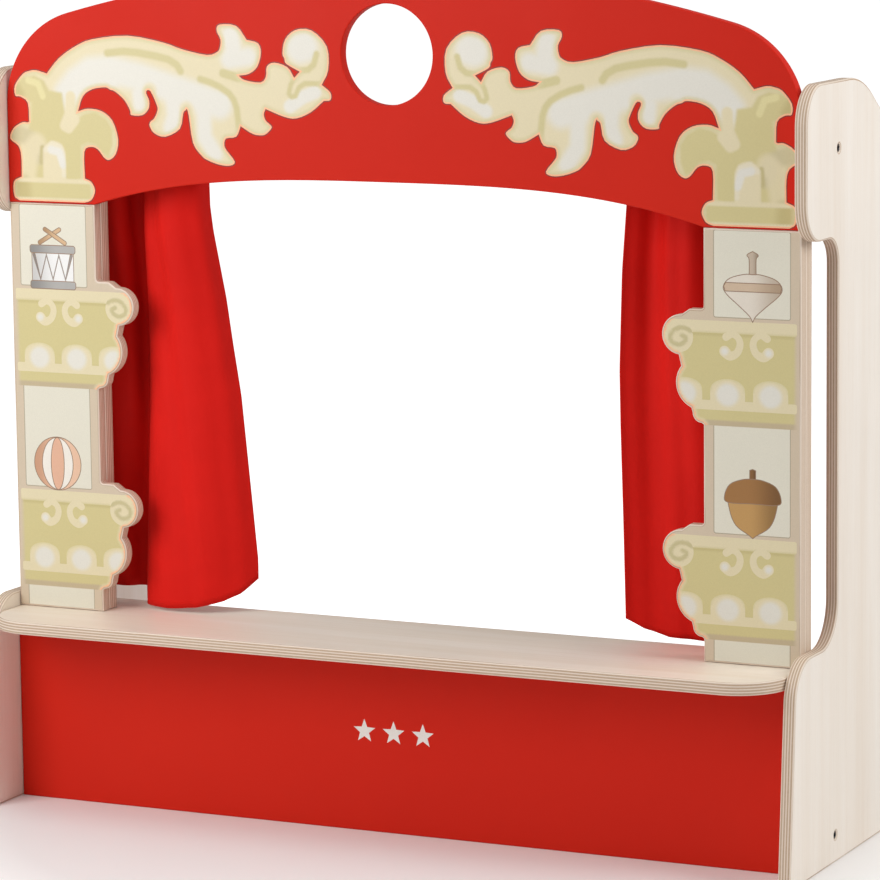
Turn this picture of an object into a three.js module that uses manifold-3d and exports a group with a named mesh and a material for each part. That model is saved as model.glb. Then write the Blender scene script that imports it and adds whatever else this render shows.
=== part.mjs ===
// A wooden puppet theatre that stands on a table or the floor: two plywood side panels, a red arched
// fascia with a round window, a stage shelf over a red front panel, two pillars with balconies, and two
// cloth curtains on a rod. Sizes are in millimetres. X is the width, Y runs from the audience to the
// puppeteer, +Z is up. The origin is on the floor, under the middle of the stand.
import * as THREE from "three";
import { mergeVertices } from "three/addons/utils/BufferGeometryUtils.js";
import Module from "manifold-3d";

const wasm = await Module();
wasm.setup();

// Overall sizes
const overallWidth = 850;
const overallDepth = 360;
const overallHeight = 824;

// Board thicknesses, rounded edges and clearances
const sidePly = 12;
const shelfPly = 12;
const frontPly = 12;
const fasciaPly = 12;
const decorPly = 12;
const postPly = 15;
const edgeRound = 1.5;
const jointGap = 0.3;
const cutOverrun = 5;

// Where the main planes of the stand lie
const shelfTop = 192.5;
const shelfDepth = 148;
const shelfOverhang = 79;
const shelfCornerRadius = 50;
const frontPanelStep = 3.5;
const fasciaHeight = 230;
const innerHalf = overallWidth / 2 - sidePly;
const boardHalf = innerHalf - jointGap;
const shelfFront = -overallDepth / 2;
const rearFoot = overallDepth / 2;
const stageFace = shelfFront + shelfOverhang;
const shelfUnderside = shelfTop - shelfPly;
const springLine = overallHeight - fasciaHeight;

// Side panel profile: a head beside the fascia, a neck set back behind the pillar, a foot under the shelf
const headDrop = 99;
const headBelowSpring = 11;
const headProud = 20;
const headFrontRadius = 37;
const headLowerRadius = 36;
const headFilletRadius = 24;
const neckSetback = 62.5;
const footAboveShelf = 14.5;
const footProudTop = 44;
const footProudBottom = 61;
const footFrontRadius = 40;
const footFilletRadius = 41;
const shoulderStart = 125.6;
const shoulderFall = THREE.MathUtils.degToRad(34);
const shoulderRadius = 110;
const rearTopInset = 29;
const rearTopRadius = 60;
const footCornerRadius = 4;

// Fascia: a shallow crown arc between two rounder shoulders, over an arched opening
const crownTurn = THREE.MathUtils.degToRad(15);
const crownShoulderRadius = 92.4;
const archRise = 31;
const archPower = 3.1;
const archSteps = 24;
const windowRadius = 47.5;
const windowDrop = 79.5;

// Pillars: a profiled board in front of a straight post, which laps behind the fascia
const pillarGap = 0.5;
const pillarWidth = 95;
const postLap = 66;
const pillarOuter = innerHalf - pillarGap;
const pillarFoot = shelfTop + jointGap;
const pillarTop = springLine - jointGap;
const postFront = stageFace + decorPly + jointGap;

// Balconies: where their undersides lie up the pillar, and their outline, measured out from the
// pillar's inner edge and up from the underside
const balconyShares = [0.0536, 0.5496];
const skirtRadius = 9;
const skirtOut = 2;
const skirtUp = 10.5;
const bellyRadius = 24.8;
const bellyOut = 2.6;
const bellyUp = 38;
const bellyFrom = THREE.MathUtils.degToRad(-67);
const bellyTo = THREE.MathUtils.degToRad(38);
const voluteRadius = 18.6;
const voluteOut = 22.4;
const voluteUp = 82;
const voluteFrom = THREE.MathUtils.degToRad(-83);
const voluteTo = THREE.MathUtils.degToRad(92);
const railOut = 14;
const railUp = 106;
const railFilletRadius = 3;
const balconyArcSteps = 5;

// Curtain rod and the lower rail that ties the feet together
const rodRadius = 10;
const rodSides = 16;
const rodSetback = 62.5;
const rodAboveSpring = 69.7;
const railSetback = 58.4;
const railHeight = 25.9;
const rodHeight = springLine + rodAboveSpring;

// Curtains: cloth gathered on the rod in folds, which spread towards the stage as they fall
const clothThickness = 2.4;
const curtainSideGap = 13;
const foldCount = 5;
const foldDepthTop = 9;
const foldDepthHem = 16.5;
const foldDrift = 0.35;
const hemLift = 4;
const hemCurlPower = 7.3;
const pocketBore = 11.2;
const pocketOuter = 13.6;
const pocketDrop = pocketBore - rodRadius - jointGap;
const headerRise = 28;
const curtainColumns = 40;
const curtainRows = 7;
const curtainOuter = innerHalf - curtainSideGap;
const curtains = {
  curtain_left: { side: -1, topWidth: 186, hemWidth: 231, hemCurl: 28 },
  curtain_right: { side: 1, topWidth: 174, hemWidth: 183, hemCurl: 18 },
};

// Wooden dowels that locate the boards, and where they lie along each joint
const dowelRadius = 3;
const dowelDeep = 18;
const dowelShallow = 8;
const dowelSides = 12;
const fasciaDowelRises = [21, 76];
const frontDowelShares = [0.25, 0.78];
const shelfDowelShares = [0.42, 0.82];
const postDowelInset = 18;
const frontTopDowelShares = [-0.72, 0, 0.72];

// Screws: long ones through the side panels into the rod and rail, short ones through the posts
const longScrew = { head: 3.7, rim: 1, cone: 3.2, shank: 2, length: 45, tip: 4, sunk: 1, socket: 1.7 };
const shortScrew = { head: 4, rim: 0.6, cone: 2.8, shank: 1.75, length: 22, tip: 3, sunk: 0.4, socket: 0 };
const socketDepth = 2;
const screwSides = 12;
const hexSides = 6;
const lapScrewRises = [20, 48];
const decorScrewShares = [0.11, 0.5, 0.92];

// Materials, one colour and surface to each kind of piece
const plywood = { color: 0xe3d2b8, roughness: 0.5, metalness: 0 };
const redLacquer = { color: 0xc4231b, roughness: 0.35, metalness: 0 };
const creamPaint = { color: 0xd8cb9a, roughness: 0.45, metalness: 0 };
const beech = { color: 0xd9b98c, roughness: 0.6, metalness: 0 };
const redCloth = { color: 0xbf1a14, roughness: 0.9, metalness: 0 };
const darkSteel = { color: 0x2c2c2e, roughness: 0.4, metalness: 0.9 };
const brightSteel = { color: 0xb9bbc0, roughness: 0.35, metalness: 0.9 };

const xAxis = new THREE.Vector3(1, 0, 0);
const yAxis = new THREE.Vector3(0, 1, 0);
const zAxis = new THREE.Vector3(0, 0, 1);
const sides = { left: -1, right: 1 };

const group = new THREE.Group();

// Adds a named mesh with its own material to the stand.
function add(name, geometry, finish) {
  const mesh = new THREE.Mesh(geometry, new THREE.MeshStandardMaterial(finish));
  mesh.name = name;
  group.add(mesh);
}

// A geometry as a solid that can be cut and joined.
function toSolid(geometry) {
  const bare = geometry.clone();
  bare.deleteAttribute("normal");
  bare.deleteAttribute("uv");
  const welded = mergeVertices(bare);
  return new wasm.Manifold(
    new wasm.Mesh({
      numProp: 3,
      vertProperties: welded.attributes.position.array,
      triVerts: new Uint32Array(welded.index.array),
    }),
  );
}

// A solid as a flat-shaded geometry.
function toGeometry(solid) {
  const { vertProperties, triVerts } = solid.getMesh();
  const indexed = new THREE.BufferGeometry();
  indexed.setAttribute("position", new THREE.BufferAttribute(vertProperties, 3));
  indexed.setIndex(new THREE.BufferAttribute(triVerts, 1));
  const flat = indexed.toNonIndexed();
  flat.computeVertexNormals();
  return flat;
}

// A geometry with each tool cut away from it.
function cut(geometry, tools) {
  return toGeometry(tools.reduce((body, tool) => body.subtract(toSolid(tool)), toSolid(geometry)));
}

// A shape from corners [x, y, radius], each corner rounded by its own tangent arc.
function filletedShape(corners) {
  const shape = new THREE.Shape();
  const last = corners.length - 1;
  corners.forEach(([x, y, radius], index) => {
    const corner = new THREE.Vector2(x, y);
    const [beforeX, beforeY] = corners[index === 0 ? last : index - 1];
    const [afterX, afterY] = corners[index === last ? 0 : index + 1];
    const arriving = corner.clone().sub(new THREE.Vector2(beforeX, beforeY)).normalize();
    const leaving = new THREE.Vector2(afterX, afterY).sub(corner).normalize();
    const turn = Math.atan2(arriving.cross(leaving), arriving.dot(leaving));
    const tangent = radius * Math.tan(Math.abs(turn) / 2);
    const start = corner.clone().addScaledVector(arriving, -tangent);
    if (index === 0) shape.moveTo(start.x, start.y);
    else shape.lineTo(start.x, start.y);
    if (radius > 0) {
      const inward = new THREE.Vector2(-arriving.y, arriving.x).multiplyScalar(Math.sign(turn));
      const centre = start.clone().addScaledVector(inward, radius);
      const from = Math.atan2(start.y - centre.y, start.x - centre.x);
      shape.absarc(centre.x, centre.y, radius, from, from + turn, turn < 0);
    }
  });
  shape.closePath();
  return shape;
}

// A flat board cut to a shape, with its edges rounded over on both faces.
function board(shape, thickness, arcSteps = 5) {
  const geometry = new THREE.ExtrudeGeometry(shape, {
    depth: thickness - 2 * edgeRound,
    bevelThickness: edgeRound,
    bevelSize: edgeRound,
    bevelOffset: -edgeRound,
    bevelSegments: 2,
    curveSegments: arcSteps,
  });
  return geometry.translate(0, 0, edgeRound);
}

// Turns a board that was drawn flat so that it faces the audience, its front at the given depth.
function faceFront(geometry, front, thickness) {
  const upright = new THREE.Matrix4().makeBasis(xAxis, zAxis, yAxis.clone().negate());
  return geometry.applyMatrix4(upright).translate(0, front + thickness, 0);
}

// Turns a board that was drawn as depth and height so that it stands sideways from the given X outwards.
function faceSide(geometry, lowX) {
  return geometry.applyMatrix4(new THREE.Matrix4().makeBasis(yAxis, zAxis, xAxis)).translate(lowX, 0, 0);
}

// A round bar or drill between two points.
function bar(start, end, radius, roundness) {
  const along = end.clone().sub(start);
  const geometry = new THREE.CylinderGeometry(radius, radius, along.length(), roundness);
  geometry.applyQuaternion(new THREE.Quaternion().setFromUnitVectors(yAxis, along.normalize()));
  const middle = start.clone().lerp(end, 1 / 2);
  return geometry.translate(middle.x, middle.y, middle.z);
}

// Every dowel: where the two boards meet, the way into its deep hole, and the two boards it joins
const dowels = [];
for (const [side, sign] of Object.entries(sides)) {
  const inward = xAxis.clone().multiplyScalar(-sign);
  const panel = `side_panel_${side}`;
  const seat = (y, z) => new THREE.Vector3(sign * innerHalf, y, z);
  fasciaDowelRises.forEach((rise, index) =>
    dowels.push({
      name: `fascia_dowel_${side}_${index + 1}`,
      seat: seat(stageFace + fasciaPly / 2, springLine + rise),
      inward,
      boards: [panel, "fascia"],
    }),
  );
  shelfDowelShares.forEach((share, index) =>
    dowels.push({
      name: `shelf_dowel_${side}_${index + 1}`,
      seat: seat(shelfFront + share * shelfDepth, shelfTop - shelfPly / 2),
      inward,
      boards: [panel, "stage_shelf"],
    }),
  );
  frontDowelShares.forEach((share, index) =>
    dowels.push({
      name: `front_dowel_${side}_${index + 1}`,
      seat: seat(stageFace - frontPanelStep + frontPly / 2, share * shelfUnderside),
      inward,
      boards: [panel, "front_panel"],
    }),
  );
  [postDowelInset, pillarWidth - postDowelInset].forEach((inset, index) =>
    dowels.push({
      name: `post_dowel_${side}_${index + 1}`,
      seat: new THREE.Vector3(sign * (pillarOuter - inset), postFront + postPly / 2, shelfTop),
      inward: zAxis,
      boards: ["stage_shelf", `pillar_post_${side}`],
    }),
  );
}
frontTopDowelShares.forEach((share, index) =>
  dowels.push({
    name: `front_top_dowel_${index + 1}`,
    seat: new THREE.Vector3(share * innerHalf, stageFace - frontPanelStep + frontPly / 2, shelfUnderside),
    inward: zAxis.clone().negate(),
    boards: ["stage_shelf", "front_panel"],
  }),
);

// Every screw: its size, the middle of its head's face, the way it is driven, and the boards it enters
const screws = [];
for (const [side, sign] of Object.entries(sides)) {
  const inward = xAxis.clone().multiplyScalar(-sign);
  const forward = yAxis.clone().negate();
  const outerFace = sign * (overallWidth / 2 - longScrew.sunk);
  screws.push({
    name: `rod_screw_${side}`,
    size: longScrew,
    head: new THREE.Vector3(outerFace, stageFace + rodSetback, rodHeight),
    inward,
    boards: [`side_panel_${side}`, "curtain_rod"],
  });
  screws.push({
    name: `rail_screw_${side}`,
    size: longScrew,
    head: new THREE.Vector3(outerFace, stageFace + railSetback, railHeight),
    inward,
    boards: [`side_panel_${side}`, "foot_rail"],
  });
  const postMiddle = sign * (pillarOuter - pillarWidth / 2);
  const postRear = postFront + postPly - shortScrew.sunk;
  lapScrewRises.forEach((rise, index) =>
    screws.push({
      name: `lap_screw_${side}_${index + 1}`,
      size: shortScrew,
      head: new THREE.Vector3(postMiddle, postRear, springLine + rise),
      inward: forward,
      boards: [`pillar_post_${side}`, "fascia"],
    }),
  );
  decorScrewShares.forEach((share, index) =>
    screws.push({
      name: `decor_screw_${side}_${index + 1}`,
      size: shortScrew,
      head: new THREE.Vector3(postMiddle, postRear, THREE.MathUtils.lerp(pillarFoot, pillarTop, share)),
      inward: forward,
      boards: [`pillar_post_${side}`, `pillar_board_${side}`],
    }),
  );
}

// A countersunk screw, or the hole for it when it is grown by a clearance, pointing down from the origin.
function screwBody(size, clearance = 0) {
  const grow = clearance > 0 ? cutOverrun : 0;
  const profile = [
    [0, -size.length - clearance],
    [size.shank + clearance, -size.length + size.tip - clearance],
    [size.shank + clearance, -size.cone - clearance],
    [size.head + clearance, -size.rim - clearance],
    [size.head + clearance, grow],
    [0, grow],
  ];
  return new THREE.LatheGeometry(profile.map(([x, y]) => new THREE.Vector2(x, y)), screwSides);
}

// Places a screw-shaped geometry with its head at a point, driven along a direction.
function drive(geometry, head, inward) {
  const turn = new THREE.Quaternion().setFromUnitVectors(yAxis.clone().negate(), inward);
  return geometry.applyQuaternion(turn).translate(head.x, head.y, head.z);
}

// The drilled holes of one board: half of each dowel joint and the path of each screw.
function holesIn(boardName) {
  const dowelHoles = dowels
    .filter(({ boards }) => boards.includes(boardName))
    .map(({ seat, inward }) =>
      bar(
        seat.clone().addScaledVector(inward, -dowelShallow),
        seat.clone().addScaledVector(inward, dowelDeep),
        dowelRadius + jointGap,
        dowelSides,
      ),
    );
  const screwHoles = screws
    .filter(({ boards }) => boards.includes(boardName))
    .map(({ size, head, inward }) => drive(screwBody(size, jointGap), head, inward));
  return [...dowelHoles, ...screwHoles];
}

// Adds a board with its holes drilled.
function addBoard(name, geometry, finish) {
  add(name, cut(geometry, holesIn(name)), finish);
}

// Side panels
function sidePanelShape() {
  const headFront = stageFace - headProud;
  const neckFront = stageFace + neckSetback;
  const slopeStart = stageFace + shoulderStart;
  const headTop = overallHeight - headDrop;
  const headBottom = springLine - headBelowSpring;
  const footTop = shelfTop + footAboveShelf;
  const rearTop = rearFoot - rearTopInset;
  const rearTopHeight = headTop - (rearTop - slopeStart) * Math.tan(shoulderFall);
  return filletedShape([
    [stageFace - footProudBottom, 0, footCornerRadius],
    [rearFoot, 0, footCornerRadius],
    [rearTop, rearTopHeight, rearTopRadius],
    [slopeStart, headTop, shoulderRadius],
    [headFront, headTop, headFrontRadius],
    [headFront, headBottom, headLowerRadius],
    [neckFront, headBottom, headFilletRadius],
    [neckFront, footTop, footFilletRadius],
    [stageFace - footProudTop, footTop, footFrontRadius],
  ]);
}
for (const [side, sign] of Object.entries(sides)) {
  const lowX = sign > 0 ? innerHalf : -overallWidth / 2;
  addBoard(`side_panel_${side}`, faceSide(board(sidePanelShape(), sidePly), lowX), plywood);
}

// Fascia with its arch and round window
function fasciaShape() {
  const shoulder = crownShoulderRadius;
  const sine = Math.sin(crownTurn);
  const crownRadius = (boardHalf - shoulder * (1 - sine)) / sine;
  const crownCentre = overallHeight - crownRadius;
  const shoulderCentre = crownCentre + (crownRadius - shoulder) * Math.cos(crownTurn);
  const archHalf = pillarOuter - pillarWidth;
  const shape = new THREE.Shape();
  shape.moveTo(-boardHalf, springLine);
  for (let step = 0; step <= archSteps; step += 1) {
    const share = -1 + (2 * step) / archSteps;
    const rise = archRise * (1 - Math.abs(share) ** archPower);
    shape.lineTo(archHalf * share, springLine + rise);
  }
  shape.lineTo(boardHalf, springLine);
  const upright = Math.PI / 2;
  shape.absarc(boardHalf - shoulder, shoulderCentre, shoulder, 0, upright - crownTurn);
  shape.absarc(0, crownCentre, crownRadius, upright - crownTurn, upright + crownTurn);
  shape.absarc(shoulder - boardHalf, shoulderCentre, shoulder, upright + crownTurn, Math.PI);
  shape.closePath();
  const opening = new THREE.Path();
  opening.absarc(0, overallHeight - windowDrop, windowRadius, 0, 2 * Math.PI);
  shape.holes.push(opening);
  return shape;
}
addBoard("fascia", faceFront(board(fasciaShape(), fasciaPly, 12), stageFace, fasciaPly), redLacquer);

// Stage shelf with two round front corners, and the red panel under it
const shelfShape = filletedShape([
  [-boardHalf, shelfFront, shelfCornerRadius],
  [boardHalf, shelfFront, shelfCornerRadius],
  [boardHalf, shelfFront + shelfDepth, 0],
  [-boardHalf, shelfFront + shelfDepth, 0],
]);
addBoard("stage_shelf", board(shelfShape, shelfPly).translate(0, 0, shelfUnderside), plywood);

const frontTop = shelfUnderside - jointGap;
const frontShape = filletedShape([
  [-boardHalf, 0, 0],
  [boardHalf, 0, 0],
  [boardHalf, frontTop, 0],
  [-boardHalf, frontTop, 0],
]);
const frontPanel = faceFront(board(frontShape, frontPly), stageFace - frontPanelStep, frontPly);
addBoard("front_panel", frontPanel, redLacquer);

// Pillar outline: straight at the side panel, with two scrolled balconies towards the stage
function pillarPoints() {
  const path = new THREE.Path();
  path.moveTo(0, pillarFoot);
  path.lineTo(pillarWidth, pillarFoot);
  for (const share of balconyShares) {
    const underside = THREE.MathUtils.lerp(shelfTop, pillarTop, share);
    path.lineTo(pillarWidth, underside);
    path.absarc(pillarWidth + skirtOut, underside + skirtUp, skirtRadius, -Math.PI / 2, 0);
    path.absarc(pillarWidth + bellyOut, underside + bellyUp, bellyRadius, bellyFrom, bellyTo);
    path.absarc(pillarWidth + voluteOut, underside + voluteUp, voluteRadius, voluteFrom, voluteTo);
    path.lineTo(pillarWidth + railOut, underside + railUp);
    const filletX = pillarWidth + railFilletRadius;
    const filletY = underside + railUp + railFilletRadius;
    path.absarc(filletX, filletY, railFilletRadius, -Math.PI / 2, -Math.PI, true);
  }
  path.lineTo(pillarWidth, pillarTop);
  path.lineTo(0, pillarTop);
  return path.getPoints(balconyArcSteps);
}
for (const [side, sign] of Object.entries(sides)) {
  const outline = pillarPoints().map(({ x, y }) => new THREE.Vector2(sign * (pillarOuter - x), y));
  const decor = board(new THREE.Shape(outline), decorPly);
  addBoard(`pillar_board_${side}`, faceFront(decor, stageFace, decorPly), creamPaint);

  const postTop = springLine + postLap;
  const postShape = filletedShape([
    [sign * pillarOuter, pillarFoot, 0],
    [sign * (pillarOuter - pillarWidth), pillarFoot, 0],
    [sign * (pillarOuter - pillarWidth), postTop, 0],
    [sign * pillarOuter, postTop, 0],
  ]);
  const post = faceFront(board(postShape, postPly), postFront, postPly);
  addBoard(`pillar_post_${side}`, post, plywood);
}

// Curtain rod and foot rail, screwed between the side panels
for (const [name, setback, height] of [
  ["curtain_rod", rodSetback, rodHeight],
  ["foot_rail", railSetback, railHeight],
]) {
  const end = new THREE.Vector3(boardHalf, stageFace + setback, height);
  const start = end.clone().setX(-boardHalf);
  addBoard(name, bar(start, end, rodRadius, rodSides), beech);
}

// Dowels and screws
for (const { name, seat, inward } of dowels) {
  const start = seat.clone().addScaledVector(inward, jointGap - dowelShallow);
  const end = seat.clone().addScaledVector(inward, dowelDeep - jointGap);
  add(name, bar(start, end, dowelRadius, dowelSides), beech);
}
for (const { name, size, head, inward } of screws) {
  const sockets = [];
  if (size.socket > 0) {
    sockets.push(new THREE.CylinderGeometry(size.socket, size.socket, 2 * socketDepth, hexSides));
  }
  const finish = size === longScrew ? darkSteel : brightSteel;
  add(name, drive(cut(screwBody(size), sockets), head, inward), finish);
}

// Curtains
// The cloth's middle surface at a share across, from its outer to its inner edge, and a share up.
function clothPoint({ side, topWidth, hemWidth, hemCurl }, across, up) {
  const width = THREE.MathUtils.lerp(hemWidth, topWidth, up);
  const hem = shelfTop + hemLift + hemCurl * across ** hemCurlPower;
  const top = rodHeight + headerRise;
  const spread = across + foldDrift * across * (across - 1) * (1 - up);
  const depth = THREE.MathUtils.lerp(foldDepthHem, foldDepthTop, up);
  const y = stageFace + rodSetback + depth * Math.cos(2 * Math.PI * foldCount * across);
  return new THREE.Vector3(side * (curtainOuter - width * spread), y, THREE.MathUtils.lerp(hem, top, up));
}

// The closed cloth solid: a front and a back sheet half a thickness either side of the middle surface.
function clothSheet(curtain) {
  const positions = [];
  const nudge = 1 / (4 * curtainColumns);
  for (const face of [1, -1]) {
    for (let row = 0; row <= curtainRows; row += 1) {
      for (let column = 0; column <= curtainColumns; column += 1) {
        const across = column / curtainColumns;
        const up = row / curtainRows;
        const before = clothPoint(curtain, Math.max(across - nudge, 0), up);
        const after = clothPoint(curtain, Math.min(across + nudge, 1), up);
        const along = after.sub(before).setZ(0).normalize();
        const out = along.cross(zAxis).multiplyScalar((face * clothThickness) / 2);
        positions.push(...clothPoint(curtain, across, up).add(out).toArray());
      }
    }
  }
  const columns = curtainColumns + 1;
  const behind = columns * (curtainRows + 1);
  const index = [];
  const quad = (a, b, c, d) => index.push(a, b, c, a, c, d);
  const at = (row, column) => row * columns + column;
  // A strip of the hem, header or side edge, between the front sheet and the back sheet.
  const bridge = (a, b) => quad(a, a + behind, b + behind, b);
  for (let row = 0; row < curtainRows; row += 1) {
    for (let column = 0; column < curtainColumns; column += 1) {
      const corners = [at(row, column), at(row, column + 1), at(row + 1, column + 1), at(row + 1, column)];
      quad(...corners);
      quad(...corners.map((corner) => corner + behind).reverse());
    }
    bridge(at(row + 1, 0), at(row, 0));
    bridge(at(row, curtainColumns), at(row + 1, curtainColumns));
  }
  for (let column = 0; column < curtainColumns; column += 1) {
    bridge(at(0, column), at(0, column + 1));
    bridge(at(curtainRows, column + 1), at(curtainRows, column));
  }
  const geometry = new THREE.BufferGeometry();
  geometry.setAttribute("position", new THREE.Float32BufferAttribute(positions, 3));
  geometry.setIndex(index);
  return toSolid(geometry);
}

for (const [name, curtain] of Object.entries(curtains)) {
  const axisHeight = rodHeight - pocketDrop;
  const outer = new THREE.Vector3(curtain.side * curtainOuter, stageFace + rodSetback, axisHeight);
  const inner = outer.clone().setX(curtain.side * (curtainOuter - curtain.topWidth));
  const overrun = xAxis.clone().multiplyScalar(curtain.side * cutOverrun);
  const pocket = toSolid(bar(outer, inner, pocketOuter, rodSides));
  const bore = toSolid(bar(outer.clone().add(overrun), inner.clone().sub(overrun), pocketBore, rodSides));
  add(name, toGeometry(clothSheet(curtain).add(pocket).subtract(bore)), redCloth);
}

export default group;
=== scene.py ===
"""Dresses the puppet theatre stand: plywood boards, red lacquer, printed ornament and cloth curtains.

Everything is in metres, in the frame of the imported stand: X is the width, Y runs from the audience
to the puppeteer, +Z is up, and the origin is on the floor under the middle of the stand.
"""

import logging
import math
from collections.abc import Callable, Sequence
from dataclasses import dataclass, field
from enum import Enum

import bmesh
import bpy
import numpy as np
from mathutils import Euler, Matrix, Vector
from mathutils.geometry import delaunay_2d_cdt


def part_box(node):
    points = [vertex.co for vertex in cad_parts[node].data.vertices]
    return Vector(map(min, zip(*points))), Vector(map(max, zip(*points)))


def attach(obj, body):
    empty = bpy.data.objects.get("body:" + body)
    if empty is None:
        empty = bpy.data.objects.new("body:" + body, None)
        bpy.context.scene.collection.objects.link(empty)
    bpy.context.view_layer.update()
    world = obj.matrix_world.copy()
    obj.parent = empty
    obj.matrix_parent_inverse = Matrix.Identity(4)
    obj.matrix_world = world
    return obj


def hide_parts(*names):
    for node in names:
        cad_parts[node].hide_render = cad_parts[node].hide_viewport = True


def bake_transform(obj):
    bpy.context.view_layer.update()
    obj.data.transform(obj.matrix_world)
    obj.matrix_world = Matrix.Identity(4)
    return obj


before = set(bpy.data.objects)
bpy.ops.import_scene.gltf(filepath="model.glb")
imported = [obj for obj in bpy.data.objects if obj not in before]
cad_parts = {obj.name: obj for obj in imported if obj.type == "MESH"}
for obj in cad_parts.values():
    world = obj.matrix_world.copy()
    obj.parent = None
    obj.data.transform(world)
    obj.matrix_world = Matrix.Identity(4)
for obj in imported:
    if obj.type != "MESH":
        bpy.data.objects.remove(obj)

logging.basicConfig(level=logging.INFO, format="%(levelname)s %(message)s")
log = logging.getLogger("puppet_theatre")

Array = np.ndarray
Tone = Callable[[Array], Array]
Material = bpy.types.Material
Piece = bpy.types.Object
Socket = bpy.types.NodeSocket
Tree = bpy.types.NodeTree
Pair = tuple[float, float]
Pairs = tuple[Pair, ...]

MM = 0.001
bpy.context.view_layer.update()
STAND = "stand"
RIGHT, BACK, UP = np.array([1, 0, 0]), np.array([0, 1, 0]), np.array([0, 0, 1])

# How far before and after a rounded corner its support points lie.
LEAD = 0.8 * MM
# The angle in degrees between two points of a board's rounded corner.
CORNER_STEP = 5.0
# The least divisor of a mitre, which keeps a sharp corner from running far out.
LEAST_SPREAD = 0.4
# How many points are compared with an outline at a time.
BATCH = 2000
# How near to each other two points of a board are joined.
WELD = 0.02 * MM
# How much wider than its screw's head a hole is, on each side.
HEAD_CLEAR = 0.3 * MM


class Side(Enum):
    """The two sides of the stand, with the sign of their X."""

    LEFT = -1
    RIGHT = 1

    @property
    def word(self) -> str:
        """The side's name in lower case, as the nodes use it."""
        return self.name.lower()


def lowest(node: str) -> Array:
    """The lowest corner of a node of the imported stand."""
    return np.array(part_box(node)[0])


def highest(node: str) -> Array:
    """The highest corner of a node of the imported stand."""
    return np.array(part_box(node)[1])


# Colours


def linear(text: str) -> Array:
    """A colour written as six hexadecimal digits, as three linear values, by the sRGB curve.

    Args:
        text: The colour's red, green and blue, such as "d9cba0".

    Returns:
        The linear red, green and blue, each from 0 to 1.
    """
    values = np.array([int(text[start : start + 2], 16) for start in (0, 2, 4)]) / 255
    return np.where(values <= 0.04045, values / 12.92, ((values + 0.055) / 1.055) ** 2.4)


def mix(first: Array, second: Array, share: Array) -> Array:
    """Each row of colours, moved from the first towards the second by its share."""
    return first + (second - first) * share[:, None]


def soft_step(values: Array, low: float, high: float) -> Array:
    """A smooth step: 0 below low, 1 above high, and three t squared less two t cubed between."""
    t = np.clip((values - low) / (high - low), 0, 1)
    return t * t * (3 - 2 * t)


# Outlines: arrays of points in a board's own plane


def arc(centre: Sequence[float], radius: float, start: float, end: float, steps: int = 14) -> Array:
    """An arc of a circle.

    Each point is the centre plus the radius times the cosine and sine of evenly spaced angles.

    Args:
        centre: The circle's centre.
        radius: Its radius.
        start: The first angle, in degrees.
        end: The last angle, in degrees.
        steps: How many equal steps lie between the two angles.

    Returns:
        The points, one to a row.
    """
    angles = np.radians(np.linspace(start, end, steps + 1))
    return np.asarray(centre) + radius * np.column_stack([np.cos(angles), np.sin(angles)])


def fillet(corners: Sequence[tuple[float, float, float]], step: float = CORNER_STEP) -> Array:
    """A closed outline through corners, each rounded by its own tangent arc.

    An arc of radius r at a corner that turns by t starts r times the tangent of half t before it.
    A support point lies just before and after each arc, so that the straight runs shade flat.

    Args:
        corners: The corners as (x, y, radius).
        step: The angle between two points of an arc, in degrees.

    Returns:
        The outline's points, one to a row.
    """
    points = np.array([corner[:2] for corner in corners])
    runs = []
    for index, (_, _, radius) in enumerate(corners):
        corner = points[index]
        arriving = corner - points[index - 1]
        leaving = points[(index + 1) % len(points)] - corner
        arriving = arriving / np.linalg.norm(arriving)
        leaving = leaving / np.linalg.norm(leaving)
        turn = math.atan2(arriving[0] * leaving[1] - arriving[1] * leaving[0], arriving @ leaving)
        if radius == 0:
            runs.append(corner[None])
            continue
        start = corner - arriving * radius * math.tan(abs(turn) / 2)
        centre = start + math.copysign(radius, turn) * np.array([-arriving[1], arriving[0]])
        first = math.degrees(math.atan2(*(start - centre)[::-1]))
        steps = max(3, math.ceil(abs(math.degrees(turn)) / step))
        curve = arc(centre, radius, first, first + math.degrees(turn), steps)
        runs.append(np.vstack([curve[0] - LEAD * arriving, curve, curve[-1] + LEAD * leaving]))
    return np.vstack(runs)


def smooth_through(points: Array, steps: int = 4) -> Array:
    """An open curve through points, as a Catmull-Rom spline.

    Between two points p1 and p2 the curve is the cubic whose slopes there are half the way from the
    point before to the point after; the two ends repeat their own point.

    Args:
        points: The points, one to a row.
        steps: How many steps lie between two of them.

    Returns:
        The curve's points, with both ends.
    """
    padded = np.vstack([2 * points[0] - points[1], points, 2 * points[-1] - points[-2]])
    before, start, end, after = (padded[n : len(padded) - 3 + n, None] for n in range(4))
    t = np.linspace(0, 1, steps, endpoint=False)[None, :, None]
    curve = 0.5 * (
        2 * start
        + (end - before) * t
        + (2 * before - 5 * start + 4 * end - after) * t**2
        + (3 * start - before - 3 * end + after) * t**3
    )
    return np.vstack([curve.reshape(-1, 2), points[-1:]])


def signed_area(loop: Array) -> float:
    """The area in a closed outline, by the shoelace formula: positive if it runs anticlockwise."""
    after = np.roll(loop, -1, axis=0)
    return 0.5 * float(np.sum(loop[:, 0] * after[:, 1] - loop[:, 1] * after[:, 0]))


def running(loop: Array, anticlockwise: bool) -> Array:
    """A closed outline that runs the wanted way round."""
    return loop if (signed_area(loop) > 0) == anticlockwise else loop[::-1]


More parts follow.
